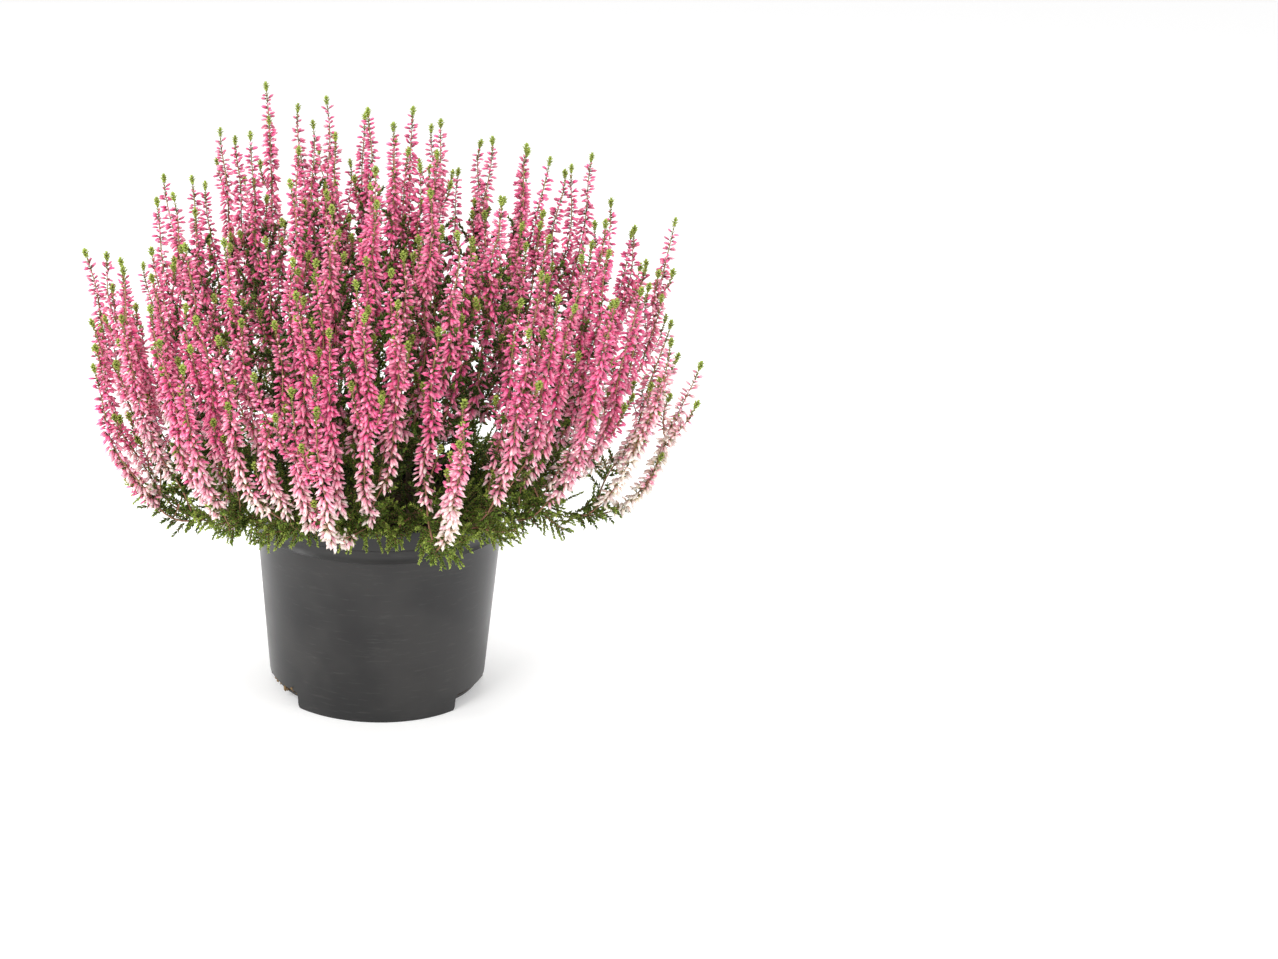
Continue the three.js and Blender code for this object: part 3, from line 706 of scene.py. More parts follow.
# Buds of one spike, each a tapered tube that starts in the stem, leaves it on a short stalk and nods more
# the lower it stands
def budShapes(strand, home, leafyFoot, rng):
    down, centre, along, outward = budPlaces(strand, home, leafyFoot, rng)
    grown = ease(0, bud["grownAt"], down)
    number = len(down)
    length = mix(*bud["length"], grown) * rng.uniform(*bud["lengthSpread"], number)
    belly = mix(*bud["belly"], grown) * rng.uniform(*bud["bellySpread"], number)
    stalk = mix(*bud["stalk"], grown) * rng.uniform(*bud["stalkSpread"], number)
    reach = mix(*bud["stemRadius"], grown) + stalk
    stalkEnd = centre + unit(outward + bud["stalkLean"] * along) * reach[:, None]
    rise = mix(*bud["rise"], ease(0, bud["riseUntil"], down))
    droop = bud["droop"] * ease(*bud["droopOver"], down) * rng.uniform(*bud["droopSpread"], number)
    aim = outward + along * rise[:, None] - np.array([0, 0, 1]) * droop[:, None]
    aim = unit(aim + rng.normal(0, 1, aim.shape) * mix(*bud["scatter"], grown)[:, None])
    first = unit(np.cross(aim, along + 0.01))
    second = np.cross(aim, first) * bud["flatness"]
    angle = 2 * np.pi * np.arange(bud["sides"]) / bud["sides"]
    circle = first[:, None] * np.cos(angle)[:, None] + second[:, None] * np.sin(angle)[:, None]
    sag = np.array([0, 0, -bud["bend"]])
    rings = []
    for share, wide in bud["rings"]:
        middle = stalkEnd + aim * (length * share)[:, None] + sag * (length * share**2)[:, None]
        rings.append(middle[:, None] + circle * (belly * wide)[:, None, None])
    tip = stalkEnd + (aim + sag) * length[:, None]
    foot = centre + outward * bud["foot"]
    vertices = np.concatenate([foot[:, None], *rings, tip[:, None]], 1)
    ringShares = mix(bud["stalkShare"], 1, np.array([share for share, _ in bud["rings"]]))
    shares = np.concatenate([[0], np.repeat(ringShares, bud["sides"]), [1]])
    look = np.empty((number, len(shares), 3))
    look[..., 0] = shares
    look[..., 1] = fadeAt(centre, down, strand, rng)[:, None]
    look[..., 2] = rng.random(number)[:, None]
    buds = packShape(vertices, tubeFaces(len(bud["rings"]), bud["sides"]), look, petalMaterial)
    return [buds, bractShapes(centre, along, outward, grown, rng)]


growingTip = {
    # how far from the end, how far the four leaves spread, and their length
    "levels": ((-3.1, 1.2, 1.8), (-2.3, 1.7, 2.2), (-1.5, 2.0, 2.5), (-0.8, 1.4, 2.5), (-0.2, 0.5, 2.1)),
    "radius": 0.72,
    "belly": 0.58,
    "past": 0.2,
    "turnScatter": 0.12,
    "youth": (0.8, 1.0),
    "neck": (3.6, 9.5),
    "neckStep": 1.15,
    "neckRadius": 0.45,
    "neckSlender": 3.6,  # length of a neck leaf in radii
    "neckYouth": (0.25, 0.5),
    "neckGreen": (9, 3.5),
    "neckFoot": 0.2,
}


# The green end of a spike: whorls of four leaves that close over the tip, and small leaves down the neck
def tipShapes(strand, rng):
    total = strand["lengths"][-1] + growingTip["past"]
    shapes = []
    for n, (back, spread, length) in enumerate(growingTip["levels"]):
        turn = strand["turn"] + n * math.pi / 4 + np.arange(4) * math.pi / 2
        turn = turn + rng.normal(0, growingTip["turnScatter"], 4)
        foot, along, side, up = alongStrand(strand, np.full(4, total + back))
        look = np.stack([np.zeros(4), rng.uniform(*growingTip["youth"], 4), rng.random(4)], 1)
        radius = np.full(4, growingTip["radius"])
        aim = roundStem(side, up, turn) * spread + along
        size = np.full(4, length)
        shapes.append(leaves(foot, aim, along, size, radius, look, leafMaterial, growingTip["belly"]))
    back = np.repeat(np.arange(*growingTip["neck"], growingTip["neckStep"]), 2)
    foot, along, side, up = alongStrand(strand, total - back)
    n = np.arange(len(back))
    turn = strand["turn"] + n * math.pi + np.floor(n / 2) * math.pi / 2
    outward = roundStem(side, up, turn)
    least, more = growingTip["neckYouth"]
    young = ease(*growingTip["neckGreen"], back) * more + least
    look = np.stack([np.zeros(len(back)), young, rng.random(len(back))], 1)
    radius = np.full(len(back), growingTip["neckRadius"])
    length = radius * growingTip["neckSlender"]
    foot = foot + outward * growingTip["neckFoot"]
    shapes.append(leaves(foot, outward + along, along, length, radius, look, leafMaterial))
    return shapes


sideSpike = {
    "from": (34.0, 82.0),  # how far under the tip of its parent it leaves
    "length": (15.0, 27.0),
    "apart": (4.5, 8.5),
    "outPower": 2.2,
    "points": 15,
    "footRoom": 8,
    "most": 3,
    "flank": 0.8,  # further out to the left or right than this there are more of them
    "mostOnFlank": 5,
    "share": 0.55,
    "bareFoot": 4,
}


# Short side spikes: each leaves the stem of its parent and runs on beside it, apart from it by the whole
# distance less a power of what is left of its length
def sideSpikes(strand, rng):
    total = strand["lengths"][-1]
    onFlank = abs(strand["line"]["label"][0]) > sideSpike["flank"]
    found = []
    for _ in range(sideSpike["mostOnFlank" if onFlank else "most"]):
        down = mix(*sideSpike["from"], rng.random())
        size = mix(*sideSpike["length"], rng.random())
        reach = mix(*sideSpike["apart"], rng.random())
        turn = 2 * math.pi * rng.random()
        drawn = rng.random()
        if drawn > sideSpike["share"] or down > total - sideSpike["footRoom"]:
            continue
        t = np.linspace(0, 1, sideSpike["points"])
        point, _, side, up = alongStrand(strand, total - down + t * size)
        outward = side * math.cos(turn) + up * math.sin(turn)
        fine = point + outward * (reach * (1 - (1 - t) ** sideSpike["outPower"]))[:, None]
        found.append({**strand, "fine": fine, "lengths": lengthsAlong(fine), "turn": turn, "isMain": False})
    return found


sway = {"wave": (38, 75), "swing": (0.5, 1.6), "grownAt": 30, "shortest": 40}


# Spikes aren't quite straight: two slow waves across the stem, from nothing at its foot
def swayed(strand, rng):
    lengths = strand["lengths"]
    side, up = alongStrand(strand, lengths)[2:]
    grown = ease(0, sway["grownAt"], lengths) * (0 if lengths[-1] < sway["shortest"] else 1)
    bent = strand["fine"] * 1.0
    for across in (side, up):
        wave = rng.uniform(*sway["wave"])
        phase = 2 * math.pi * rng.random()
        swing = rng.uniform(*sway["swing"])
        bent += across * (swing * grown * np.sin(2 * np.pi * lengths / wave + phase))[:, None]
    return {**strand, "fine": bent, "lengths": lengthsAlong(bent)}


# The attribute look of a single tube: the share along it, and no tone of its own
def stalkLook(count):
    return np.stack([np.linspace(0, 1, count), np.full(count, 0.5), np.zeros(count)], -1)[None]


# The stem of a spike, a thin tube from its branch to the tip
def spikeStem(strand):
    total = strand["lengths"][-1]
    distance = np.linspace(0, total, max(spike["stemLeast"], int(total / spike["stemStep"])))
    paths = alongStrand(strand, distance)[0][None]
    radii = mix(*bud["stemRadius"], ease(0, bud["grownAt"], total - distance))[None]
    return tubes(paths, radii, spike["stemSides"], slanted, stalkLook(len(distance)), stalkMaterial)


sprig = {
    "outerFrom": 0.45,  # lines whose label is longer than this are outer ones
    "stemStep": 2.35,  # distance between side sprigs along a leafy stem
    "stemLength": (7.0, 14.0),
    "stemUnder": 8,  # sprigs begin this far under the first leaves
    "innerStep": 3.1,
    "innerLength": (11.0, 21.0),
    "innerScale": 1.5,
    "shootStep": 1.25,
    "shootInnerStep": 1.875,
    "shootEnds": (2.0, 1.5),
    "shootLength": (12.0, 5.0),  # at the foot and at the end of a shoot
    "shootPower": 1.5,
    "shootSpread": (0.65, 1.15),
    "shootRadius": (0.75, 0.35),
    "shootPast": 2.5,
    "shootSides": 5,
    "pathPoints": 24,
    "ownPoints": 12,
    "ownYouth": 0.35,
    "turnStep": 2.4,
    "turnScatter": 0.3,
    "lean": (0.5, 1.1),
    "reachUp": 0.8,  # how much longer the twigs on top of a branch grow
    "lift": 0.35,
    "fall": 1.35,
    "outward": 0.35,
    "droopFrom": 58.0,  # sprigs further out than this hang over the rim
    "droopOver": 16,
    "droopHeights": (128, 104),
    "droop": 1.1,
    "droopSpread": (0.1, 1.2),
    "twigRadius": 0.3,
    "twigEnd": 0.7,
    "twigSides": 3,
    "stations": 4,
    "tooFew": 3,
    "offSoil": 2,
    "offRim": 0.8,
    "rimInside": 3,
    "rimOutside": 0.6,
    "youth": (0.25, 0.42),
    "youthOver": (45, 85),
    "youthScatter": 0.08,
}
spikeTwigs = {
    "leafyFoot": (2.0, 34.0),  # low spikes are leafy instead of flowering for this long
    "footHeights": (150, 116),
    "footLeast": 5,
    "footStep": 1.7,
    "footLength": (4.5, 9.0),
    "footYouth": (0.25, 0.6),
    "footScale": 1.15,
    "deep": (42.0, 72.0),  # dark leafy twigs on the spikes this far under the crown
    "deepChance": 0.9,
    "deepStep": 3.6,
    "deepLength": (6.0, 12.0),
    "deepYouth": (0.05, 0.35),
    "top": 34,
    "firstFoot": 1.0,
    "mostShare": 0.5,
    "deepScatter": 2,
    "underBuds": 2,
}
twigLeaf = {
    "step": 1.05,
    "first": 0.4,
    "placeScatter": 0.6,
    "turnScatter": 0.35,
    "length": (1.9, 2.8),
    "radius": 0.66,
    "sizeAtEnd": (1.05, 0.8),
    "radiusAtEnd": 0.8,
    "spreadAtEnd": 0.55,
    "endYouth": 0.27,
    "endFrom": 0.55,
    "youthScatter": 0.06,
}


# Leaves in crossed pairs along many twigs of one number of stations each
def leavesAlong(paths, youth, rng, scale=1.0):
    step = twigLeaf["step"] * scale
    lengths = np.linalg.norm(np.diff(paths, axis=1), axis=-1).sum(1)
    most = int(lengths.max() / step)
    k = np.arange(most)[None] + rng.random((len(paths), 1)) * twigLeaf["placeScatter"]
    share = (k + twigLeaf["first"]) * step / lengths[:, None]
    keep = share < 1
    twig = np.repeat(np.arange(len(paths))[:, None], most, 1)[keep]
    share = share[keep]
    k = k[keep]
    place = share * (paths.shape[1] - 1)
    i = np.minimum(place.astype(int), paths.shape[1] - 2)
    feet = mix(paths[twig, i], paths[twig, i + 1], (place - i)[:, None])
    along = unit(paths[twig, i + 1] - paths[twig, i])
    reference = np.where(np.abs(along[:, 2:]) > 0.8, [[1.0, 0, 0]], [[0, 0, 1.0]])
    first = unit(np.cross(along, reference))
    second = np.cross(along, first)
    shapes = []
    for half in (0, 1):
        turn = np.floor(k) * math.pi / 2 + half * math.pi + twig
        turn = turn + rng.normal(0, twigLeaf["turnScatter"], len(k))
        size = mix(*twigLeaf["length"], rng.random(len(k))) * mix(*twigLeaf["sizeAtEnd"], share) * scale
        young = youth[twig] + twigLeaf["endYouth"] * ease(twigLeaf["endFrom"], 1, share)
        young = np.clip(young + rng.normal(0, twigLeaf["youthScatter"], len(k)), 0, 1)
        look = np.stack([0 * young, young, rng.random(len(k))], 1)
        aim = roundStem(first, second, turn) * mix(1.0, twigLeaf["spreadAtEnd"], share)[:, None] + along
        radius = twigLeaf["radius"] * scale * mix(1, twigLeaf["radiusAtEnd"], share)
        shapes.append(leaves(feet, aim, along, size, radius, look, leafMaterial))
    return shapes


# Twig points kept off the pot: over the soil inside it, and over or outside the rim elsewhere
def clearOfPot(points):
    out = np.hypot(points[..., 0], points[..., 1])
    inner = pot["rimRadius"] - sprig["rimInside"]
    outer = pot["rimRadius"] + sprig["rimOutside"]
    overSoil = np.where(out < inner, soil["top"] + sprig["offSoil"], 0)
    overRim = np.where((out >= inner) & (out < outer), pot["height"] + sprig["offRim"], 0)
    lifted = points * 1.0
    lifted[..., 2] = np.maximum(points[..., 2], np.maximum(overSoil, overRim))
    return lifted


# Side sprigs of a stem or shoot: they leave at an angle, curve up or hang, and carry crossed leaves. Their
# path is start times (t - t t / 2) plus end times t t / 2, for t from 0 to 1
def sprigShapes(strand, feet, lengths, youth, rng, scale=1.0):
    count = len(feet)
    if not count:
        return []
    point, along, side, up = alongStrand(strand, feet)
    turn = strand["turn"] + np.arange(count) * sprig["turnStep"]
    turn = turn + rng.normal(0, sprig["turnScatter"], count)
    outward = roundStem(side, up, turn)
    lengths = lengths * (1 + sprig["reachUp"] * np.maximum(outward[:, 2], 0))
    start = unit(outward + along * rng.uniform(*sprig["lean"], (count, 1)))
    radial = point * np.array([1, 1, 0])
    out = np.linalg.norm(radial, axis=1, keepdims=True)
    hang = ease(sprig["droopFrom"], sprig["droopFrom"] + sprig["droopOver"], out)
    hang = hang * ease(*sprig["droopHeights"], point[:, 2:])
    hang = hang * sprig["droop"] * rng.uniform(*sprig["droopSpread"], (count, 1))
    lift = np.array([0, 0, 1.0]) * (sprig["lift"] - sprig["fall"] * hang)
    end = unit(start + lift + sprig["outward"] * hang * unit(radial))
    t = np.linspace(0, 1, sprig["stations"])[None, :, None]
    bent = start[:, None] * (t - t * t / 2) + end[:, None] * t * t / 2
    paths = clearOfPot(point[:, None] + bent * lengths[:, None, None])
    radii = sprig["twigRadius"] * np.linspace(1, sprig["twigEnd"], sprig["stations"])
    radii = np.tile(radii, (count, 1))
    look = np.zeros((*paths.shape[:2], 3)) + np.array([0.5, 0.5, 0])
    twigs = tubes(paths, radii, sprig["twigSides"], np.tile(steep, (count, 1)), look, stalkMaterial)
    return [twigs, *leavesAlong(paths, youth, rng, scale)]


# Leafy twigs on a spike: all along its foot, and larger dark ones where it runs deep inside the crown
def spikeSprigs(strand, leafyFoot, rng):
    total = strand["lengths"][-1]
    end = min(leafyFoot, total * spikeTwigs["mostShare"])
    feet = np.arange(spikeTwigs["firstFoot"], end, spikeTwigs["footStep"])
    youth = rng.uniform(*spikeTwigs["footYouth"], len(feet))
    lengths = rng.uniform(*spikeTwigs["footLength"], len(feet))
    shapes = sprigShapes(strand, feet, lengths, youth, rng, spikeTwigs["footScale"])
    feet = np.arange(leafyFoot, total - spikeTwigs["top"], spikeTwigs["deepStep"])
    feet = feet + rng.random() * spikeTwigs["deepScatter"]
    deep = deepInside(strand, feet, spikeTwigs["deep"])
    feet = feet[deep > rng.random(len(feet)) * spikeTwigs["deepChance"]]
    youth = rng.uniform(*spikeTwigs["deepYouth"], len(feet))
    lengths = rng.uniform(*spikeTwigs["deepLength"], len(feet))
    return shapes + sprigShapes(strand, feet, lengths, youth, rng, sprig["innerScale"])


# All shapes of one spike: its buds, growing tip, stem and leafy twigs, and its small side spikes
def spikeShapes(strand, home, rng):
    bent = swayed(strand, rng)
    foot = mix(*spikeTwigs["leafyFoot"], draw(strand["line"]["index"], 22))
    foot = spikeTwigs["footLeast"] + foot * ease(*spikeTwigs["footHeights"], strand["fine"][0, 2])
    shapes = budShapes(bent, bent if strand is home else home, foot, rng)
    shapes += [*tipShapes(bent, rng), spikeStem(bent)]
    shapes += spikeSprigs(bent, foot + spikeTwigs["underBuds"], rng)
    for small in sideSpikes(bent, rng):
        shapes += budShapes(small, small, sideSpike["bareFoot"], rng) + tipShapes(small, rng)
        shapes.append(spikeStem(small))
    return shapes


# A stem or shoot with its own leaves and its side sprigs
def leafyShapes(strand, rng):
    total = strand["lengths"][-1]
    outer = np.hypot(*strand["line"]["label"]) > sprig["outerFrom"]
    isMain = strand["isMain"]
    leafy = alongStrand(strand, np.linspace(0, total, sprig["pathPoints"]))[0]
    if isMain:
        foot = leafy[:1] * 1.0
        foot[0, 2] = strand["points"][0, 2]
        path = np.vstack([foot, leafy])[None]
        radii = np.linspace(stem["woodRadius"], bud["stemRadius"][1], path.shape[1])[None]
        shapes = [tubes(path, radii, stem["sides"], level, stalkLook(path.shape[1]), woodMaterial)]
        high = leafy[leafy[:, 2] > stem["leafFrom"] - sprig["stemUnder"]]
        start = total * (1 - len(high) / len(leafy))
        leafy = high
        feet = np.arange(start, total, sprig["stemStep" if outer else "innerStep"])
        lengths = mix(*sprig["stemLength" if outer else "innerLength"], rng.random(len(feet)))
    else:
        radii = np.linspace(*sprig["shootRadius"], len(leafy))[None]
        look = stalkLook(len(leafy))
        shapes = [tubes(leafy[None], radii, sprig["shootSides"], slanted, look, stalkMaterial)]
        start = 0
        first, last = sprig["shootEnds"]
        feet = np.arange(first, total - last, sprig["shootStep" if outer else "shootInnerStep"])
        lengths = mix(*sprig["shootLength"], (feet / total) ** sprig["shootPower"])
        lengths = lengths * rng.uniform(*sprig["shootSpread"], len(feet))
    if len(leafy) > sprig["tooFew"]:
        past = 0 if isMain else sprig["shootPast"]
        again = alongStrand(strand, np.linspace(start, total + past, sprig["ownPoints"]))[0]
        shapes += leavesAlong(again[None], np.array([sprig["ownYouth"]]), rng)
    out = np.hypot(*alongStrand(strand, feet)[0][:, :2].T)
    least, more = sprig["youth"]
    young = np.clip(least + more * ease(*sprig["youthOver"], out), 0, 1)
    young = young + rng.normal(0, sprig["youthScatter"], len(feet))
    scale = sprig["innerScale"] if isMain and not outer else 1.0
    return shapes + sprigShapes(strand, feet, lengths, young, rng, scale)


# A new object in the scene
def newObject(name, data):
    made = bpy.data.objects.new(name, data)
    bpy.context.scene.collection.objects.link(made)
    return made


# One mesh from many shapes, in metres, with the attribute look for its materials
def addPiece(name, shapes, materials, nodes):
    sizes = [len(shape[0]) for shape in shapes]
    offsets = np.concatenate([[0], np.cumsum(sizes)[:-1]]).astype(int)
    vertices = np.concatenate([shape[0] for shape in shapes]) * metre
    faces = np.concatenate([shape[1] + offset for shape, offset in zip(shapes, offsets)])
    look = np.concatenate([shape[2] for shape in shapes])
    numbers = np.concatenate([np.full(len(shape[1]), shape[3]) for shape in shapes])
    used = np.unique(numbers)
    mesh = bpy.data.meshes.new(name)
    mesh.vertices.add(len(vertices))
    mesh.vertices.foreach_set("co", vertices.astype(np.float32).ravel())
    mesh.loops.add(faces.size)
    mesh.loops.foreach_set("vertex_index", faces.astype(np.int32).ravel())
    mesh.polygons.add(len(faces))
    mesh.polygons.foreach_set("loop_start", np.arange(0, faces.size, 3, dtype=np.int32))
    mesh.polygons.foreach_set("material_index", np.searchsorted(used, numbers).astype(np.int32))
    mesh.update(calc_edges=True)
    mesh.polygons.foreach_set("use_smooth", np.ones(len(faces), bool))
    attribute = mesh.attributes.new("look", "FLOAT_VECTOR", "POINT")
    attribute.data.foreach_set("vector", look.astype(np.float32).ravel())
    for number in used:
        mesh.materials.append(materials[number])
    piece = newObject(name, mesh)
    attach(piece, "root")
    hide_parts(*nodes)


# Materials

# An empty node group with its input and output sockets, and the two nodes that hold them
def newGroup(name, inputs, outputs):
    group = bpy.data.node_groups.new(name, "ShaderNodeTree")
    for label, kind, value in inputs:
        socket = group.interface.new_socket(label, in_out="INPUT", socket_type=kind)
        socket.default_value = value
    for label, kind in outputs:
        group.interface.new_socket(label, in_out="OUTPUT", socket_type=kind)
    return group, group.nodes.new("NodeGroupInput"), group.nodes.new("NodeGroupOutput")


# A new node with its settings
def addNode(tree, kind, **settings):
    node = tree.nodes.new(kind)
    for label, value in settings.items():
        setattr(node, label, value)
    return node


# Values of a node's sockets: each is linked where it is another socket, and a constant otherwise
def feed(tree, node, values):
    for label, value in values.items():
        if isinstance(value, bpy.types.NodeSocket):
            tree.links.new(value, node.inputs[label])
        else:
            node.inputs[label].default_value = value


# A colour that wanders between a darker and a lighter mate in soft patches on the object
def patchyColourGroup():
    inputs = [
        ("Color", "NodeSocketColor", (0.5, 0.5, 0.5, 1)),
        ("Other", "NodeSocketColor", (0.4, 0.4, 0.4, 1)),
        ("Scale", "NodeSocketFloat", 100.0),
        ("Amount", "NodeSocketFloat", 0.5),
    ]
    outputs = [("Color", "NodeSocketColor"), ("Mask", "NodeSocketFloat")]
    group, source, result = newGroup("patchyColour", inputs, outputs)
    given = source.outputs
    place = addNode(group, "ShaderNodeTexCoord")
    noise = addNode(group, "ShaderNodeTexNoise")
    feed(group, noise, {"Vector": place.outputs["Object"], "Scale": given["Scale"], "Detail": 3})
    edge = addNode(group, "ShaderNodeMapRange", interpolation_type="SMOOTHSTEP")
    feed(group, edge, {"Value": noise.outputs["Fac"], "From Min": 0.38, "From Max": 0.66})
    amount = addNode(group, "ShaderNodeMath", operation="MULTIPLY")
    feed(group, amount, {0: edge.outputs["Result"], 1: given["Amount"]})
    blend = mixColours(group, amount.outputs[0], given["Color"], given["Other"])
    feed(group, result, {"Color": blend, "Mask": amount.outputs[0]})
    return group


# Fine relief from a noise on the object, as a bumped normal
def fineReliefGroup():
    inputs = [
        ("Scale", "NodeSocketFloat", 900.0),
        ("Strength", "NodeSocketFloat", 0.3),
        ("Distance", "NodeSocketFloat", 0.0002),
    ]
    group, source, result = newGroup("fineRelief", inputs, [("Normal", "NodeSocketVector")])
    given = source.outputs
    place = addNode(group, "ShaderNodeTexCoord")
    noise = addNode(group, "ShaderNodeTexNoise")
    feed(group, noise, {"Vector": place.outputs["Object"], "Scale": given["Scale"], "Detail": 4})
    bump = addNode(group, "ShaderNodeBump")
    feed(group, bump, {"Height": noise.outputs["Fac"], "Strength": given["Strength"]})
    feed(group, bump, {"Distance": given["Distance"]})
    feed(group, result, {"Normal": bump.outputs["Normal"]})
    return group


# A ramp with its stops, each a position and a colour
def colourRamp(tree, factor, stops):
    ramp = addNode(tree, "ShaderNodeValToRGB")
    elements = ramp.color_ramp.elements
    for n, (position, colour) in enumerate(stops):
        element = elements[n] if n < 2 else elements.new(position)
        element.position = position
        element.color = (*colour, 1)
    feed(tree, ramp, {"Fac": factor})
    return ramp.outputs["Color"]


# One colour turned into another by a factor, each a socket or a constant
def mixColours(tree, factor, a, b):
    blend = addNode(tree, "ShaderNodeMix", data_type="RGBA")
    feed(tree, blend, {"Factor": factor, "A": a, "B": b})
    return blend.outputs["Result"]


# A value moved from one range to another
def ranged(tree, value, ends):
    moved = addNode(tree, "ShaderNodeMapRange")
    feed(tree, moved, {"Value": value, **ends})
    return moved.outputs["Result"]


# A colour made darker or brighter by its shift, between two limits
def toned(tree, colour, shift, limits):
    bright = addNode(tree, "ShaderNodeHueSaturation")
    tone = ranged(tree, shift, {"To Min": limits[0], "To Max": limits[1]})
    feed(tree, bright, {"Color": colour, "Value": tone})
    return bright.outputs["Color"]


# The outputs of the patchy colour group: a colour with patches of another, and their mask
def patched(tree, group, colour, other, scale, amount):
    patches = addNode(tree, "ShaderNodeGroup", node_tree=group)
    feed(tree, patches, {"Color": colour, "Other": other, "Scale": scale, "Amount": amount})
    return patches.outputs


# A material with its own Principled shader
def newMaterial(name, roughness, specular):
    material = bpy.data.materials.new(name)
    material.use_nodes = True
    tree = material.node_tree
    shader = tree.nodes["Principled BSDF"]
    feed(tree, shader, {"Roughness": roughness, "Specular IOR Level": specular})
    return material, tree, shader


# The three numbers of the attribute look: the share along a form, its fading or youth, and its tone
def lookSockets(tree):
    look = addNode(tree, "ShaderNodeAttribute", attribute_name="look")
    split = addNode(tree, "ShaderNodeSeparateXYZ")
    tree.links.new(look.outputs["Vector"], split.inputs[0])
    return split.outputs


# Fine relief on a shader
def addRelief(tree, shader, group, scale, strength, distance):
    relief = addNode(tree, "ShaderNodeGroup", node_tree=group)
    feed(tree, relief, {"Scale": scale, "Strength": strength, "Distance": distance})
    feed(tree, shader, {"Normal": relief.outputs["Normal"]})


petal = {
    "deep": (
        (0.0, (0.12, 0.07, 0.025)), (0.13, (0.16, 0.03, 0.035)), (0.22, (0.46, 0.025, 0.12)),
        (0.48, (0.76, 0.07, 0.235)), (0.82, (0.90, 0.18, 0.36)), (1.0, (0.94, 0.42, 0.54)),
    ),
    "pale": (
        (0.0, (0.13, 0.12, 0.03)), (0.13, (0.26, 0.15, 0.07)), (0.22, (0.66, 0.20, 0.28)),
        (0.5, (0.86, 0.38, 0.48)), (0.85, (0.94, 0.68, 0.68)), (1.0, (0.92, 0.86, 0.74)),
    ),
    "cream": (
        (0.0, (0.15, 0.16, 0.04)), (0.2, (0.55, 0.5, 0.26)), (0.45, (0.90, 0.80, 0.70)),
        (0.8, (0.93, 0.88, 0.78)), (1.0, (0.83, 0.84, 0.58)),
    ),
    "paleFrom": 0.1,
    "paleFull": 0.7,
    "creamFrom": 0.68,
    "tones": (0.72, 1.36),
    "magenta": (0.66, 0.06, 0.25, 1),
    "patches": (420, 0.22),  # scale and amount
    "roughness": 0.32,
    "specular": 0.6,
    "sheen": 0.15,
    "relief": (2200, 0.25, 0.0002),
}


# Petals: a ramp along the bud for deep, pale and cream buds, mixed by how far the bud has faded
def petalMaterialOf(patchy, relief):
    material, tree, shader = newMaterial("budPetal", petal["roughness"], petal["specular"])
    along, fade, shift = lookSockets(tree)
    deep, pale, cream = [colourRamp(tree, along, petal[stage]) for stage in ("deep", "pale", "cream")]
    toPale = ranged(tree, fade, {"From Min": petal["paleFrom"], "From Max": petal["paleFull"]})
    toCream = ranged(tree, fade, {"From Min": petal["creamFrom"], "From Max": 1.0})
    colour = mixColours(tree, toCream, mixColours(tree, toPale, deep, pale), cream)
    colour = toned(tree, colour, shift, petal["tones"])
    patches = patched(tree, patchy, colour, petal["magenta"], *petal["patches"])
    feed(tree, shader, {"Base Color": patches["Color"], "Sheen Weight": petal["sheen"]})
    addRelief(tree, shader, relief, *petal["relief"])
    return material


foliage = {
    "stages": (
        (0.0, (0.022, 0.042, 0.010)), (0.35, (0.056, 0.100, 0.014)), (0.72, (0.145, 0.225, 0.026)),
        (1.0, (0.42, 0.53, 0.10)),
    ),
    "towardsEnd": 0.16,  # how much younger the end of a leaf looks
    "tones": (0.75, 1.22),
    "brown": (0.07, 0.05, 0.02, 1),
    "patches": (160, 0.25),  # scale and amount
    "roughness": 0.6,
    "specular": 0.18,
    "relief": (1800, 0.2, 0.0002),
}


# Leaves: dark when old, yellow-green when young, a little lighter towards the end of each leaf
def leafMaterialOf(patchy, relief):
    material, tree, shader = newMaterial("scaleLeaf", foliage["roughness"], foliage["specular"])
    along, youth, shift = lookSockets(tree)
    age = addNode(tree, "ShaderNodeMath", operation="MULTIPLY_ADD")
    feed(tree, age, {0: along, 1: foliage["towardsEnd"], 2: youth})
    colour = colourRamp(tree, age.outputs[0], foliage["stages"])
    colour = toned(tree, colour, shift, foliage["tones"])
    patches = patched(tree, patchy, colour, foliage["brown"], *foliage["patches"])
    feed(tree, shader, {"Base Color": patches["Color"]})
    addRelief(tree, shader, relief, *foliage["relief"])
    return material


bark = {
    # colours at the foot, at the end and in patches
    "stalk": ((0.32, 0.18, 0.10), (0.36, 0.30, 0.11), (0.42, 0.14, 0.13)),
    "wood": ((0.06, 0.04, 0.025), (0.12, 0.08, 0.04), (0.17, 0.125, 0.085)),
    "patches": (260, 0.7),  # scale and amount
    "roughness": 0.7,
    "specular": 0.3,
    "relief": (1400, 0.5, 0.0004),
}


# Bark and stalks: brown along the stem, greener towards the young end
def barkMaterialOf(name, colours, patchy, relief):
    material, tree, shader = newMaterial(name, bark["roughness"], bark["specular"])
    low, high, other = colours
    colour = colourRamp(tree, lookSockets(tree)[0], ((0.0, low), (1.0, high)))
    patches = patched(tree, patchy, colour, (*other, 1), *bark["patches"])
    feed(tree, shader, {"Base Color": patches["Color"]})
    addRelief(tree, shader, relief, *bark["relief"])
    return material


earth = {
    "dark": (0.018, 0.012, 0.008, 1),
    "brown": (0.055, 0.033, 0.018, 1),
    "bits": (0.26, 0.17, 0.085, 1),
    "patches": (320, 1.0),  # scale and amount
    "roughness": 0.95,
    "specular": 0.15,
    "relief": (900, 0.9, 0.0008),
}


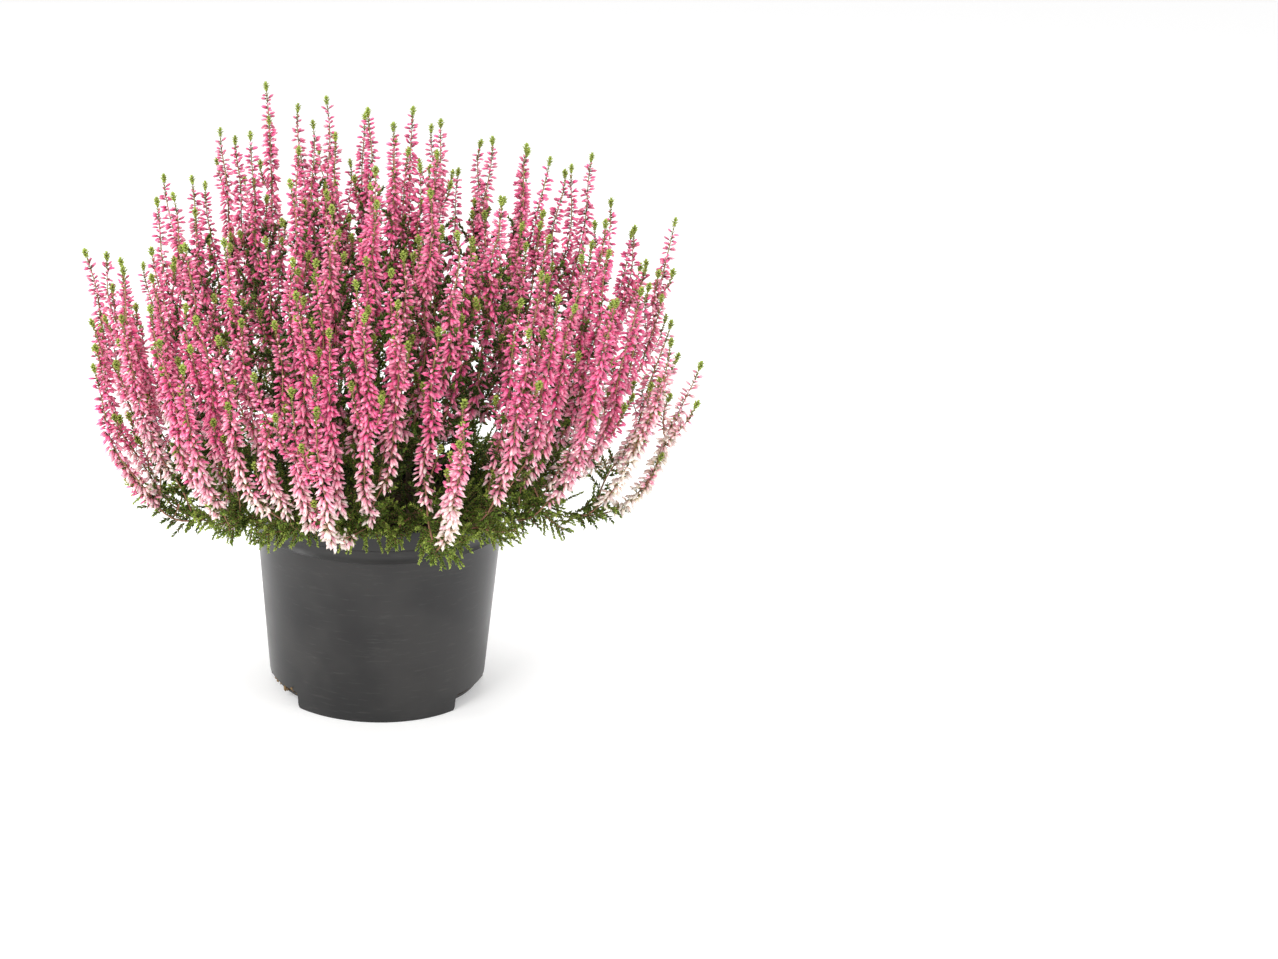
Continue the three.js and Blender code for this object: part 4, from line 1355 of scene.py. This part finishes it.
# Soil: near black with brown patches, and lighter bits where the attribute look says so
def soilMaterialOf(patchy, relief):
    material, tree, shader = newMaterial("pottingSoil", earth["roughness"], earth["specular"])
    patches = patched(tree, patchy, earth["dark"], earth["brown"], *earth["patches"])
    colour = mixColours(tree, lookSockets(tree)[1], patches["Color"], earth["bits"])
    feed(tree, shader, {"Base Color": colour})
    addRelief(tree, shader, relief, *earth["relief"])
    return material


plastic = {
    "colour": (0.009, 0.0087, 0.009, 1),
    "bloom": (0.024, 0.0228, 0.022, 1),
    "patches": (24, 0.9),  # scale and amount
    "scratch": (0.11, 0.105, 0.10, 1),
    "scratchScale": 80,
    "scratchStretch": 9,
    "scratchLeast": 0.56,
    "scratchAmount": 0.22,
    "gloss": (0.3, 0.44),
    "roughness": 0.36,
    "specular": 0.42,
    "relief": (1600, 0.12, 0.0002),
}


# Long thin marks: a noise on the object squeezed in height, kept where it is strongest
def scratchesGroup():
    inputs = [
        ("Scale", "NodeSocketFloat", 70.0),
        ("Stretch", "NodeSocketFloat", 14.0),
        ("Least", "NodeSocketFloat", 0.64),
    ]
    group, source, result = newGroup("scratches", inputs, [("Mask", "NodeSocketFloat")])
    given = source.outputs
    place = addNode(group, "ShaderNodeTexCoord")
    split = addNode(group, "ShaderNodeSeparateXYZ")
    feed(group, split, {0: place.outputs["Object"]})
    squeeze = addNode(group, "ShaderNodeMath", operation="MULTIPLY")
    feed(group, squeeze, {0: split.outputs["Z"], 1: given["Stretch"]})
    joined = addNode(group, "ShaderNodeCombineXYZ")
    feed(group, joined, {"X": split.outputs["X"], "Y": split.outputs["Y"], "Z": squeeze.outputs[0]})
    noise = addNode(group, "ShaderNodeTexNoise")
    feed(group, noise, {"Vector": joined.outputs[0], "Scale": given["Scale"]})
    feed(group, noise, {"Detail": 5, "Roughness": 0.65})
    marks = ranged(group, noise.outputs["Fac"], {"From Min": given["Least"], "From Max": 0.8})
    feed(group, result, {"Mask": marks})
    return group


# Moulded plastic: charcoal with a dull bloom that makes the gloss uneven, and pale handling marks
def potMaterialOf(patchy, scratched, relief):
    material, tree, shader = newMaterial("potPlastic", plastic["roughness"], plastic["specular"])
    bloom = patched(tree, patchy, plastic["colour"], plastic["bloom"], *plastic["patches"])
    marks = addNode(tree, "ShaderNodeGroup", node_tree=scratched)
    feed(tree, marks, {"Scale": plastic["scratchScale"], "Stretch": plastic["scratchStretch"]})
    feed(tree, marks, {"Least": plastic["scratchLeast"]})
    faint = addNode(tree, "ShaderNodeMath", operation="MULTIPLY")
    feed(tree, faint, {0: marks.outputs["Mask"], 1: plastic["scratchAmount"]})
    colour = mixColours(tree, faint.outputs[0], bloom["Color"], plastic["scratch"])
    low, high = plastic["gloss"]
    gloss = ranged(tree, bloom["Mask"], {"To Min": low, "To Max": high})
    feed(tree, shader, {"Base Color": colour, "Roughness": gloss})
    addRelief(tree, shader, relief, *plastic["relief"])
    return material


# Pot

# Points of a quarter-round between two directions, for the small radii of the moulding
def rounded(corner, before, after, radius, steps=4):
    corner, before, after = (np.array(p, float) for p in (corner, before, after))
    a = corner + unit(before - corner) * radius
    b = corner + unit(after - corner) * radius
    t = np.linspace(0, 1, steps + 1)[:, None]
    return (1 - t) ** 2 * a + 2 * t * (1 - t) * corner + t**2 * b


# The wall's outline as radius and height, from the middle of the plate's underside round to its top. Each
# corner has its place and the size of its rounding
def potOutline():
    neck = pot["rimRadius"] - pot["bandStep"]
    bandLow = pot["height"] - pot["bandHeight"]
    inner = pot["footRadius"] - pot["wall"]
    shoulderIn, shoulderUp = pot["shoulder"]
    corners = [
        ((0.0, pot["plateBottom"]), 0),
        ((inner + potSlope * pot["plateBottom"], pot["plateBottom"]), 0.5),
        ((inner, 0.0), 0.3),
        ((pot["footRadius"], 0.0), 0.5),
        ((pot["lineRadius"], pot["lineHeight"]), 0.25),
        ((pot["lineRadius"] + pot["lineStep"], pot["lineHeight"] + pot["lineLip"]), 0.16),
        ((neck - shoulderIn, pot["lineHeight"] + shoulderUp), 1.2),
        ((neck, bandLow - pot["bandUndercut"]), 0.35),
        ((pot["rimRadius"], bandLow), 0.4),
        ((pot["rimRadius"], pot["height"]), 0.55),
        ((pot["rimRadius"] - pot["wall"], pot["height"]), 0.45),
        ((pot["lineRadius"] - pot["wall"], pot["lineHeight"]), 1.5),
        ((inner + potSlope * pot["plateTop"], pot["plateTop"]), 1.2),
        ((0.0, pot["plateTop"]), 0),
    ]
    points = []
    for n, (corner, radius) in enumerate(corners):
        if radius == 0:
            points.append(np.array([corner]))
            continue
        points.append(rounded(corner, corners[n - 1][0], corners[n + 1][0], radius))
    return np.vstack(points)


# Long straight stretches of an outline get points in between
def withSteps(outline, longest):
    pieces = []
    for a, b in zip(outline[:-1], outline[1:]):
        count = max(1, math.ceil(np.linalg.norm(b - a) / longest))
        pieces.append(mix(a, b, np.arange(count)[:, None] / count))
    return np.vstack([*pieces, outline[-1:]])


# A closed surface of revolution: the outline's inner points turned about the axis, its ends as poles
def turnedMesh(name, outline, around):
    angle = 2 * np.pi * np.arange(around) / around
    ring = outline[1:-1]
    rings = np.stack([
        ring[:, :1] * np.sin(angle), -ring[:, :1] * np.cos(angle), np.repeat(ring[:, 1:], around, 1),
    ], -1)
    vertices = np.vstack([[[0, 0, outline[0, 1]]], rings.reshape(-1, 3), [[0, 0, outline[-1, 1]]]])
    mesh = bpy.data.meshes.new(name)
    mesh.from_pydata(vertices * metre, [], tubeFaces(len(ring), around).tolist())
    mesh.update()
    return mesh


# A drain notch: a curved block through the wall of the foot, its upper corners rounded off and its lower
# ends flared. Each column of the block has four corners: inner low, inner high, outer high and outer low
def notchCutter(turn):
    half = math.asin(pot["notchWidth"] / 2 / pot["footRadius"])
    across = half * np.sin(np.linspace(-np.pi / 2, np.pi / 2, pot["notchColumns"]))
    fromEnd = np.clip(1 - (half - np.abs(across)) * pot["footRadius"] / pot["notchCorner"], 0, 1)
    high = pot["notchHeight"] - pot["notchCorner"] * (1 - np.sqrt(1 - fromEnd**2))
    bend = np.linspace(0.1, np.pi / 2, pot["flareColumns"])
    beyond = half + pot["notchFlare"] * (1 - np.cos(bend)) / pot["footRadius"]
    flared = pot["notchFlare"] * (1 - np.sin(bend)) - 0.02
    across = np.concatenate([-beyond[::-1], across, beyond])
    high = np.concatenate([flared[::-1], high, flared])
    columns = len(across)
    low = np.full(columns, -pot["notchUnder"])
    angle = math.radians(turn) + across
    inner = pot["footRadius"] - pot["notchDepth"]
    outer = pot["footRadius"] + pot["notchPast"]
    corners = [(inner, low), (inner, high), (outer, high), (outer, low)]
    points = [np.stack([radius * np.sin(angle), -radius * np.cos(angle), z], 1) for radius, z in corners]
    vertices = np.stack(points, 1).reshape(-1, 3) * metre
    faces = [[0, 3, 2, 1], [4 * columns - 4, 4 * columns - 3, 4 * columns - 2, 4 * columns - 1]]
    for k in range(0, 4 * columns - 4, 4):
        faces += [[k + j, k + (j + 1) % 4, k + (j + 1) % 4 + 4, k + j + 4] for j in range(4)]
    mesh = bpy.data.meshes.new("notchCutter")
    mesh.from_pydata(vertices, [], faces)
    mesh.update()
    return newObject("notchCutter", mesh)


# The pot: its outline turned about the axis, less the drain notches, smooth apart from its sharp edges
def makePot(material):
    mesh = turnedMesh("nurseryPot", withSteps(potOutline(), pot["longestStep"]), pot["around"])
    piece = newObject("nurseryPot", mesh)
    cutters = [notchCutter(turn) for turn in pot["notchTurns"]]
    for cutter in cutters:
        cut = piece.modifiers.new("notch", "BOOLEAN")
        cut.operation = "DIFFERENCE"
        cut.solver = "EXACT"
        cut.object = cutter
    evaluated = piece.evaluated_get(bpy.context.evaluated_depsgraph_get())
    finished = bpy.data.meshes.new_from_object(evaluated)
    piece.modifiers.clear()
    piece.data = finished
    for cutter in cutters:
        bpy.data.objects.remove(cutter)
    finished.materials.clear()
    finished.materials.append(material)
    finished.polygons.foreach_set("use_smooth", np.ones(len(finished.polygons), bool))
    finished.set_sharp_from_angle(angle=math.radians(pot["sharpDeg"]))
    return piece


# Soil: a lumpy disc that fills the pot, and loose crumbs on it

# Sum of a few fixed sine waves in the plane, for gentle lumps
def lumps(x, y, scale, salt):
    total = np.zeros_like(x)
    for n in range(6):
        turn = 2 * np.pi * draw(n, salt)
        wave = scale * (0.6 + draw(n, salt + 1))
        phase = 2 * np.pi * draw(n, salt + 2)
        total += np.sin((x * math.cos(turn) + y * math.sin(turn)) * wave + phase)
    return total / 6


# The soil fills the pot from its plate up. Its top is a dome that falls with the square of the way out,
# with lumps and grain that fade at the edge
def soilBody():
    bottom = pot["plateTop"] + soil["gap"]
    low = pot["footRadius"] + potSlope * bottom - pot["wall"] - soil["gap"]
    high = pot["footRadius"] + potSlope * soil["top"] - pot["wall"] - soil["gap"]
    around = soil["around"]
    angle = 2 * np.pi * np.arange(around) / around
    share = np.linspace(1, 0, soil["rows"] + 1)[:-1]
    radius = np.concatenate([[low * soil["bottomShare"], low, mix(low, high, 0.5)], share * high])
    x = radius[:, None] * np.sin(angle)
    y = -radius[:, None] * np.cos(angle)
    top = soil["top"] + soil["dome"] * (1 - share[:, None] ** 2)
    inside = ease(*soil["flatEdge"], share[:, None])
    rough = soil["lump"] * lumps(x, y, soil["lumpWave"], 31)
    rough = rough + soil["grain"] * lumps(x, y, soil["grainWave"], 41)
    sides = np.array([[bottom], [bottom + soil["bottomRise"]], [soil["top"] / 2]]) + np.zeros((1, around))
    height = np.concatenate([sides, top + rough[3:] * inside - soil["edgeDrop"] * (1 - inside)])
    rings = np.stack([x, y, height], -1).reshape(-1, 3)
    ends = np.array([[0, 0, bottom], [0, 0, soil["top"] + soil["dome"]]])
    vertices = np.vstack([ends[:1], rings, ends[1:]])
    return packShape(vertices[None], tubeFaces(len(radius), around), np.zeros((1, len(vertices), 3)), 0)


# Crumbs are short knobbly tubes: most lie on the dome, and the loose bits in the left drain notch
def soilCrumbs(rng):
    crumbs = soil["crumbs"]
    loose = soil["looseBits"]
    turn = 2 * np.pi * rng.random(crumbs)
    out = soil["crumbReach"] * np.sqrt(rng.random(crumbs))
    size = rng.uniform(*soil["crumbSize"], crumbs)
    up = np.full(crumbs, soil["top"] + soil["dome"] * soil["crumbsUp"])
    spot = np.stack([out * np.sin(turn), out * np.cos(turn), up], 1)
    turn = np.radians(mix(*soil["looseTurns"], rng.random(loose)))
    out = rng.uniform(*soil["looseOut"], loose)
    up = rng.uniform(*soil["looseUp"], loose)
    spot = np.vstack([spot, np.stack([out * np.sin(turn), -out * np.cos(turn), up], 1)])
    size = np.append(size, rng.uniform(*soil["looseSize"], loose))
    pale = np.append(np.zeros(crumbs), rng.uniform(0, 1, loose) ** 2)
    count = crumbs + loose
    shape = np.array(soil["crumbShape"])
    lean = rng.normal(0, 1, (count, 1, 3)) * size[:, None, None]
    path = spot[:, None] + lean * np.linspace(-0.5, 0.5, len(shape))[:, None]
    radii = size[:, None] * shape * rng.uniform(*soil["crumbSpread"], (count, len(shape)))
    look = np.zeros((count, len(shape), 3))
    look[..., 1] = pale[:, None]
    return tubes(path, radii, soil["crumbSides"], unit(rng.normal(0, 1, (count, 3))), look, 0)


# Stage: floor, soft light and the camera at the photograph's angle
camera = {
    "lens": 57.2,
    "sensor": 36.0,
    "axisPixel": 380.0,  # where the pot's axis stands in a frame of this width
    "frameWidth": 1278.0,
    "rollDeg": 0.86,
    "clipStart": 0.05,
    "clipEnd": 50,
}
studio = {
    "floorHalf": 9.0,
    "floorColour": (0.88, 0.88, 0.88, 1),
    "floorGlow": 0.22,
    "floorRoughness": 0.8,
    "floorSpecular": 0.2,
    "white": (1, 1, 1, 1),
    "seenLight": 1.0,
    "castLight": 0.85,
    "lights": (  # name, place, what it looks at, size and power
        ("keyLight", (-1.1, -1.5, 1.5), (0, 0, 0.15), 1.1, 26),
        ("fillLight", (1.5, -1.0, 0.8), (0, 0, 0.12), 1.0, 8),
        ("topLight", (0.1, 0.5, 1.9), (0, 0, 0.2), 1.4, 16),
        ("sideLight", (-1.25, -0.35, 0.32), (0, 0, 0.06), 0.5, 5),
    ),
}


# A round area light at its place, turned towards its target
def addLight(name, place, target, size, power):
    data = bpy.data.lights.new(name, "AREA")
    data.shape = "DISK"
    data.size = size
    data.energy = power
    lamp = newObject(name, data)
    lamp.location = place
    towards = np.array(target) - np.array(place)
    turn = math.atan2(towards[1], towards[0])
    tip = math.atan2(towards[2], math.hypot(towards[0], towards[1]))
    lamp.rotation_euler = (math.pi / 2 + tip, 0, turn - math.pi / 2)


# The pale floor, the world and the lights. The camera sees a white world, and its light is a little weaker
def makeStage():
    mesh = bpy.data.meshes.new("floor")
    corners = np.array([(-1, -1, 0), (1, -1, 0), (1, 1, 0), (-1, 1, 0)]) * studio["floorHalf"]
    mesh.from_pydata(corners, [], [[0, 1, 2, 3]])
    floor = newObject("floor", mesh)
    material, tree, shader = newMaterial("paleFloor", studio["floorRoughness"], studio["floorSpecular"])
    feed(tree, shader, {"Base Color": studio["floorColour"], "Emission Color": studio["white"]})
    feed(tree, shader, {"Emission Strength": studio["floorGlow"]})
    mesh.materials.append(material)
    world = bpy.data.worlds.new("studio")
    bpy.context.scene.world = world
    world.use_nodes = True
    sky = world.node_tree
    seen = sky.nodes["Background"]
    feed(sky, seen, {"Color": studio["white"], "Strength": studio["seenLight"]})
    lit = addNode(sky, "ShaderNodeBackground")
    feed(sky, lit, {"Color": studio["white"], "Strength": studio["castLight"]})
    path = addNode(sky, "ShaderNodeLightPath")
    either = addNode(sky, "ShaderNodeMixShader")
    feed(sky, either, {0: path.outputs["Is Camera Ray"], 1: lit.outputs[0], 2: seen.outputs[0]})
    feed(sky, sky.nodes["World Output"], {"Surface": either.outputs[0]})
    for light in studio["lights"]:
        addLight(*light)


# The photograph's camera: it looks down by the tilt at its height on the axis, which it holds at its pixel
def makeCamera():
    tilt = math.radians(sight["tiltDeg"])
    data = bpy.data.cameras.new("photoCamera")
    data.sensor_width = camera["sensor"]
    data.lens = camera["lens"]
    data.shift_x = (camera["frameWidth"] / 2 - camera["axisPixel"]) / camera["frameWidth"]
    data.clip_start = camera["clipStart"]
    data.clip_end = camera["clipEnd"]
    view = newObject("photoCamera", data)
    distance = sight["distance"] * metre
    view.location = (0, -distance * math.cos(tilt), sight["lookHeight"] * metre + distance * math.sin(tilt))
    pitch = Matrix.Rotation(math.pi / 2 - tilt, 3, "X")
    view.rotation_euler = (pitch @ Matrix.Rotation(math.radians(camera["rollDeg"]), 3, "Z")).to_euler()
    bpy.context.scene.camera = view


bpy.context.scene.view_settings.view_transform = "Standard"
makeCamera()
makeStage()
print("stage ready")

patchyColour = patchyColourGroup()
fineRelief = fineReliefGroup()
scratches = scratchesGroup()
petalFinish = petalMaterialOf(patchyColour, fineRelief)
leafFinish = leafMaterialOf(patchyColour, fineRelief)
stalkFinish = barkMaterialOf("spikeStalk", bark["stalk"], patchyColour, fineRelief)
woodFinish = barkMaterialOf("heatherWood", bark["wood"], patchyColour, fineRelief)
finishes = [petalFinish, stalkFinish, leafFinish, woodFinish]
print("materials ready")

potPiece = makePot(potMaterialOf(patchyColour, scratches, fineRelief))
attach(potPiece, "root")
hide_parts("pot")
print("pot ready")

rng = np.random.default_rng(plant["seed"])
soilFinish = soilMaterialOf(patchyColour, fineRelief)
addPiece("pottingSoil", [soilBody(), soilCrumbs(rng)], [soilFinish], ["compost"])
print("soil ready")

strands = layOutPlant()
print("layout ready:", len(strands), "strands")

for branch in range(plant["branches"]):
    own = [strand for strand in strands if strand["branch"] == branch]
    spikes = [strand for strand in own if strand["kind"] == "flowers"]
    home = next(strand for strand in spikes if strand["isMain"])
    shapes = []
    for strand in spikes:
        shapes += spikeShapes(strand, home, rng)
    number = f"{branch + 1:02d}"
    addPiece("budSpikes_" + number, shapes, finishes, ["flowers_" + number])
    shapes = []
    for strand in own:
        if strand["kind"] == "leafy_branch":
            shapes += leafyShapes(strand, rng)
    addPiece("leafyBranch_" + number, shapes, finishes, ["leafy_branch_" + number])
print("branches ready")
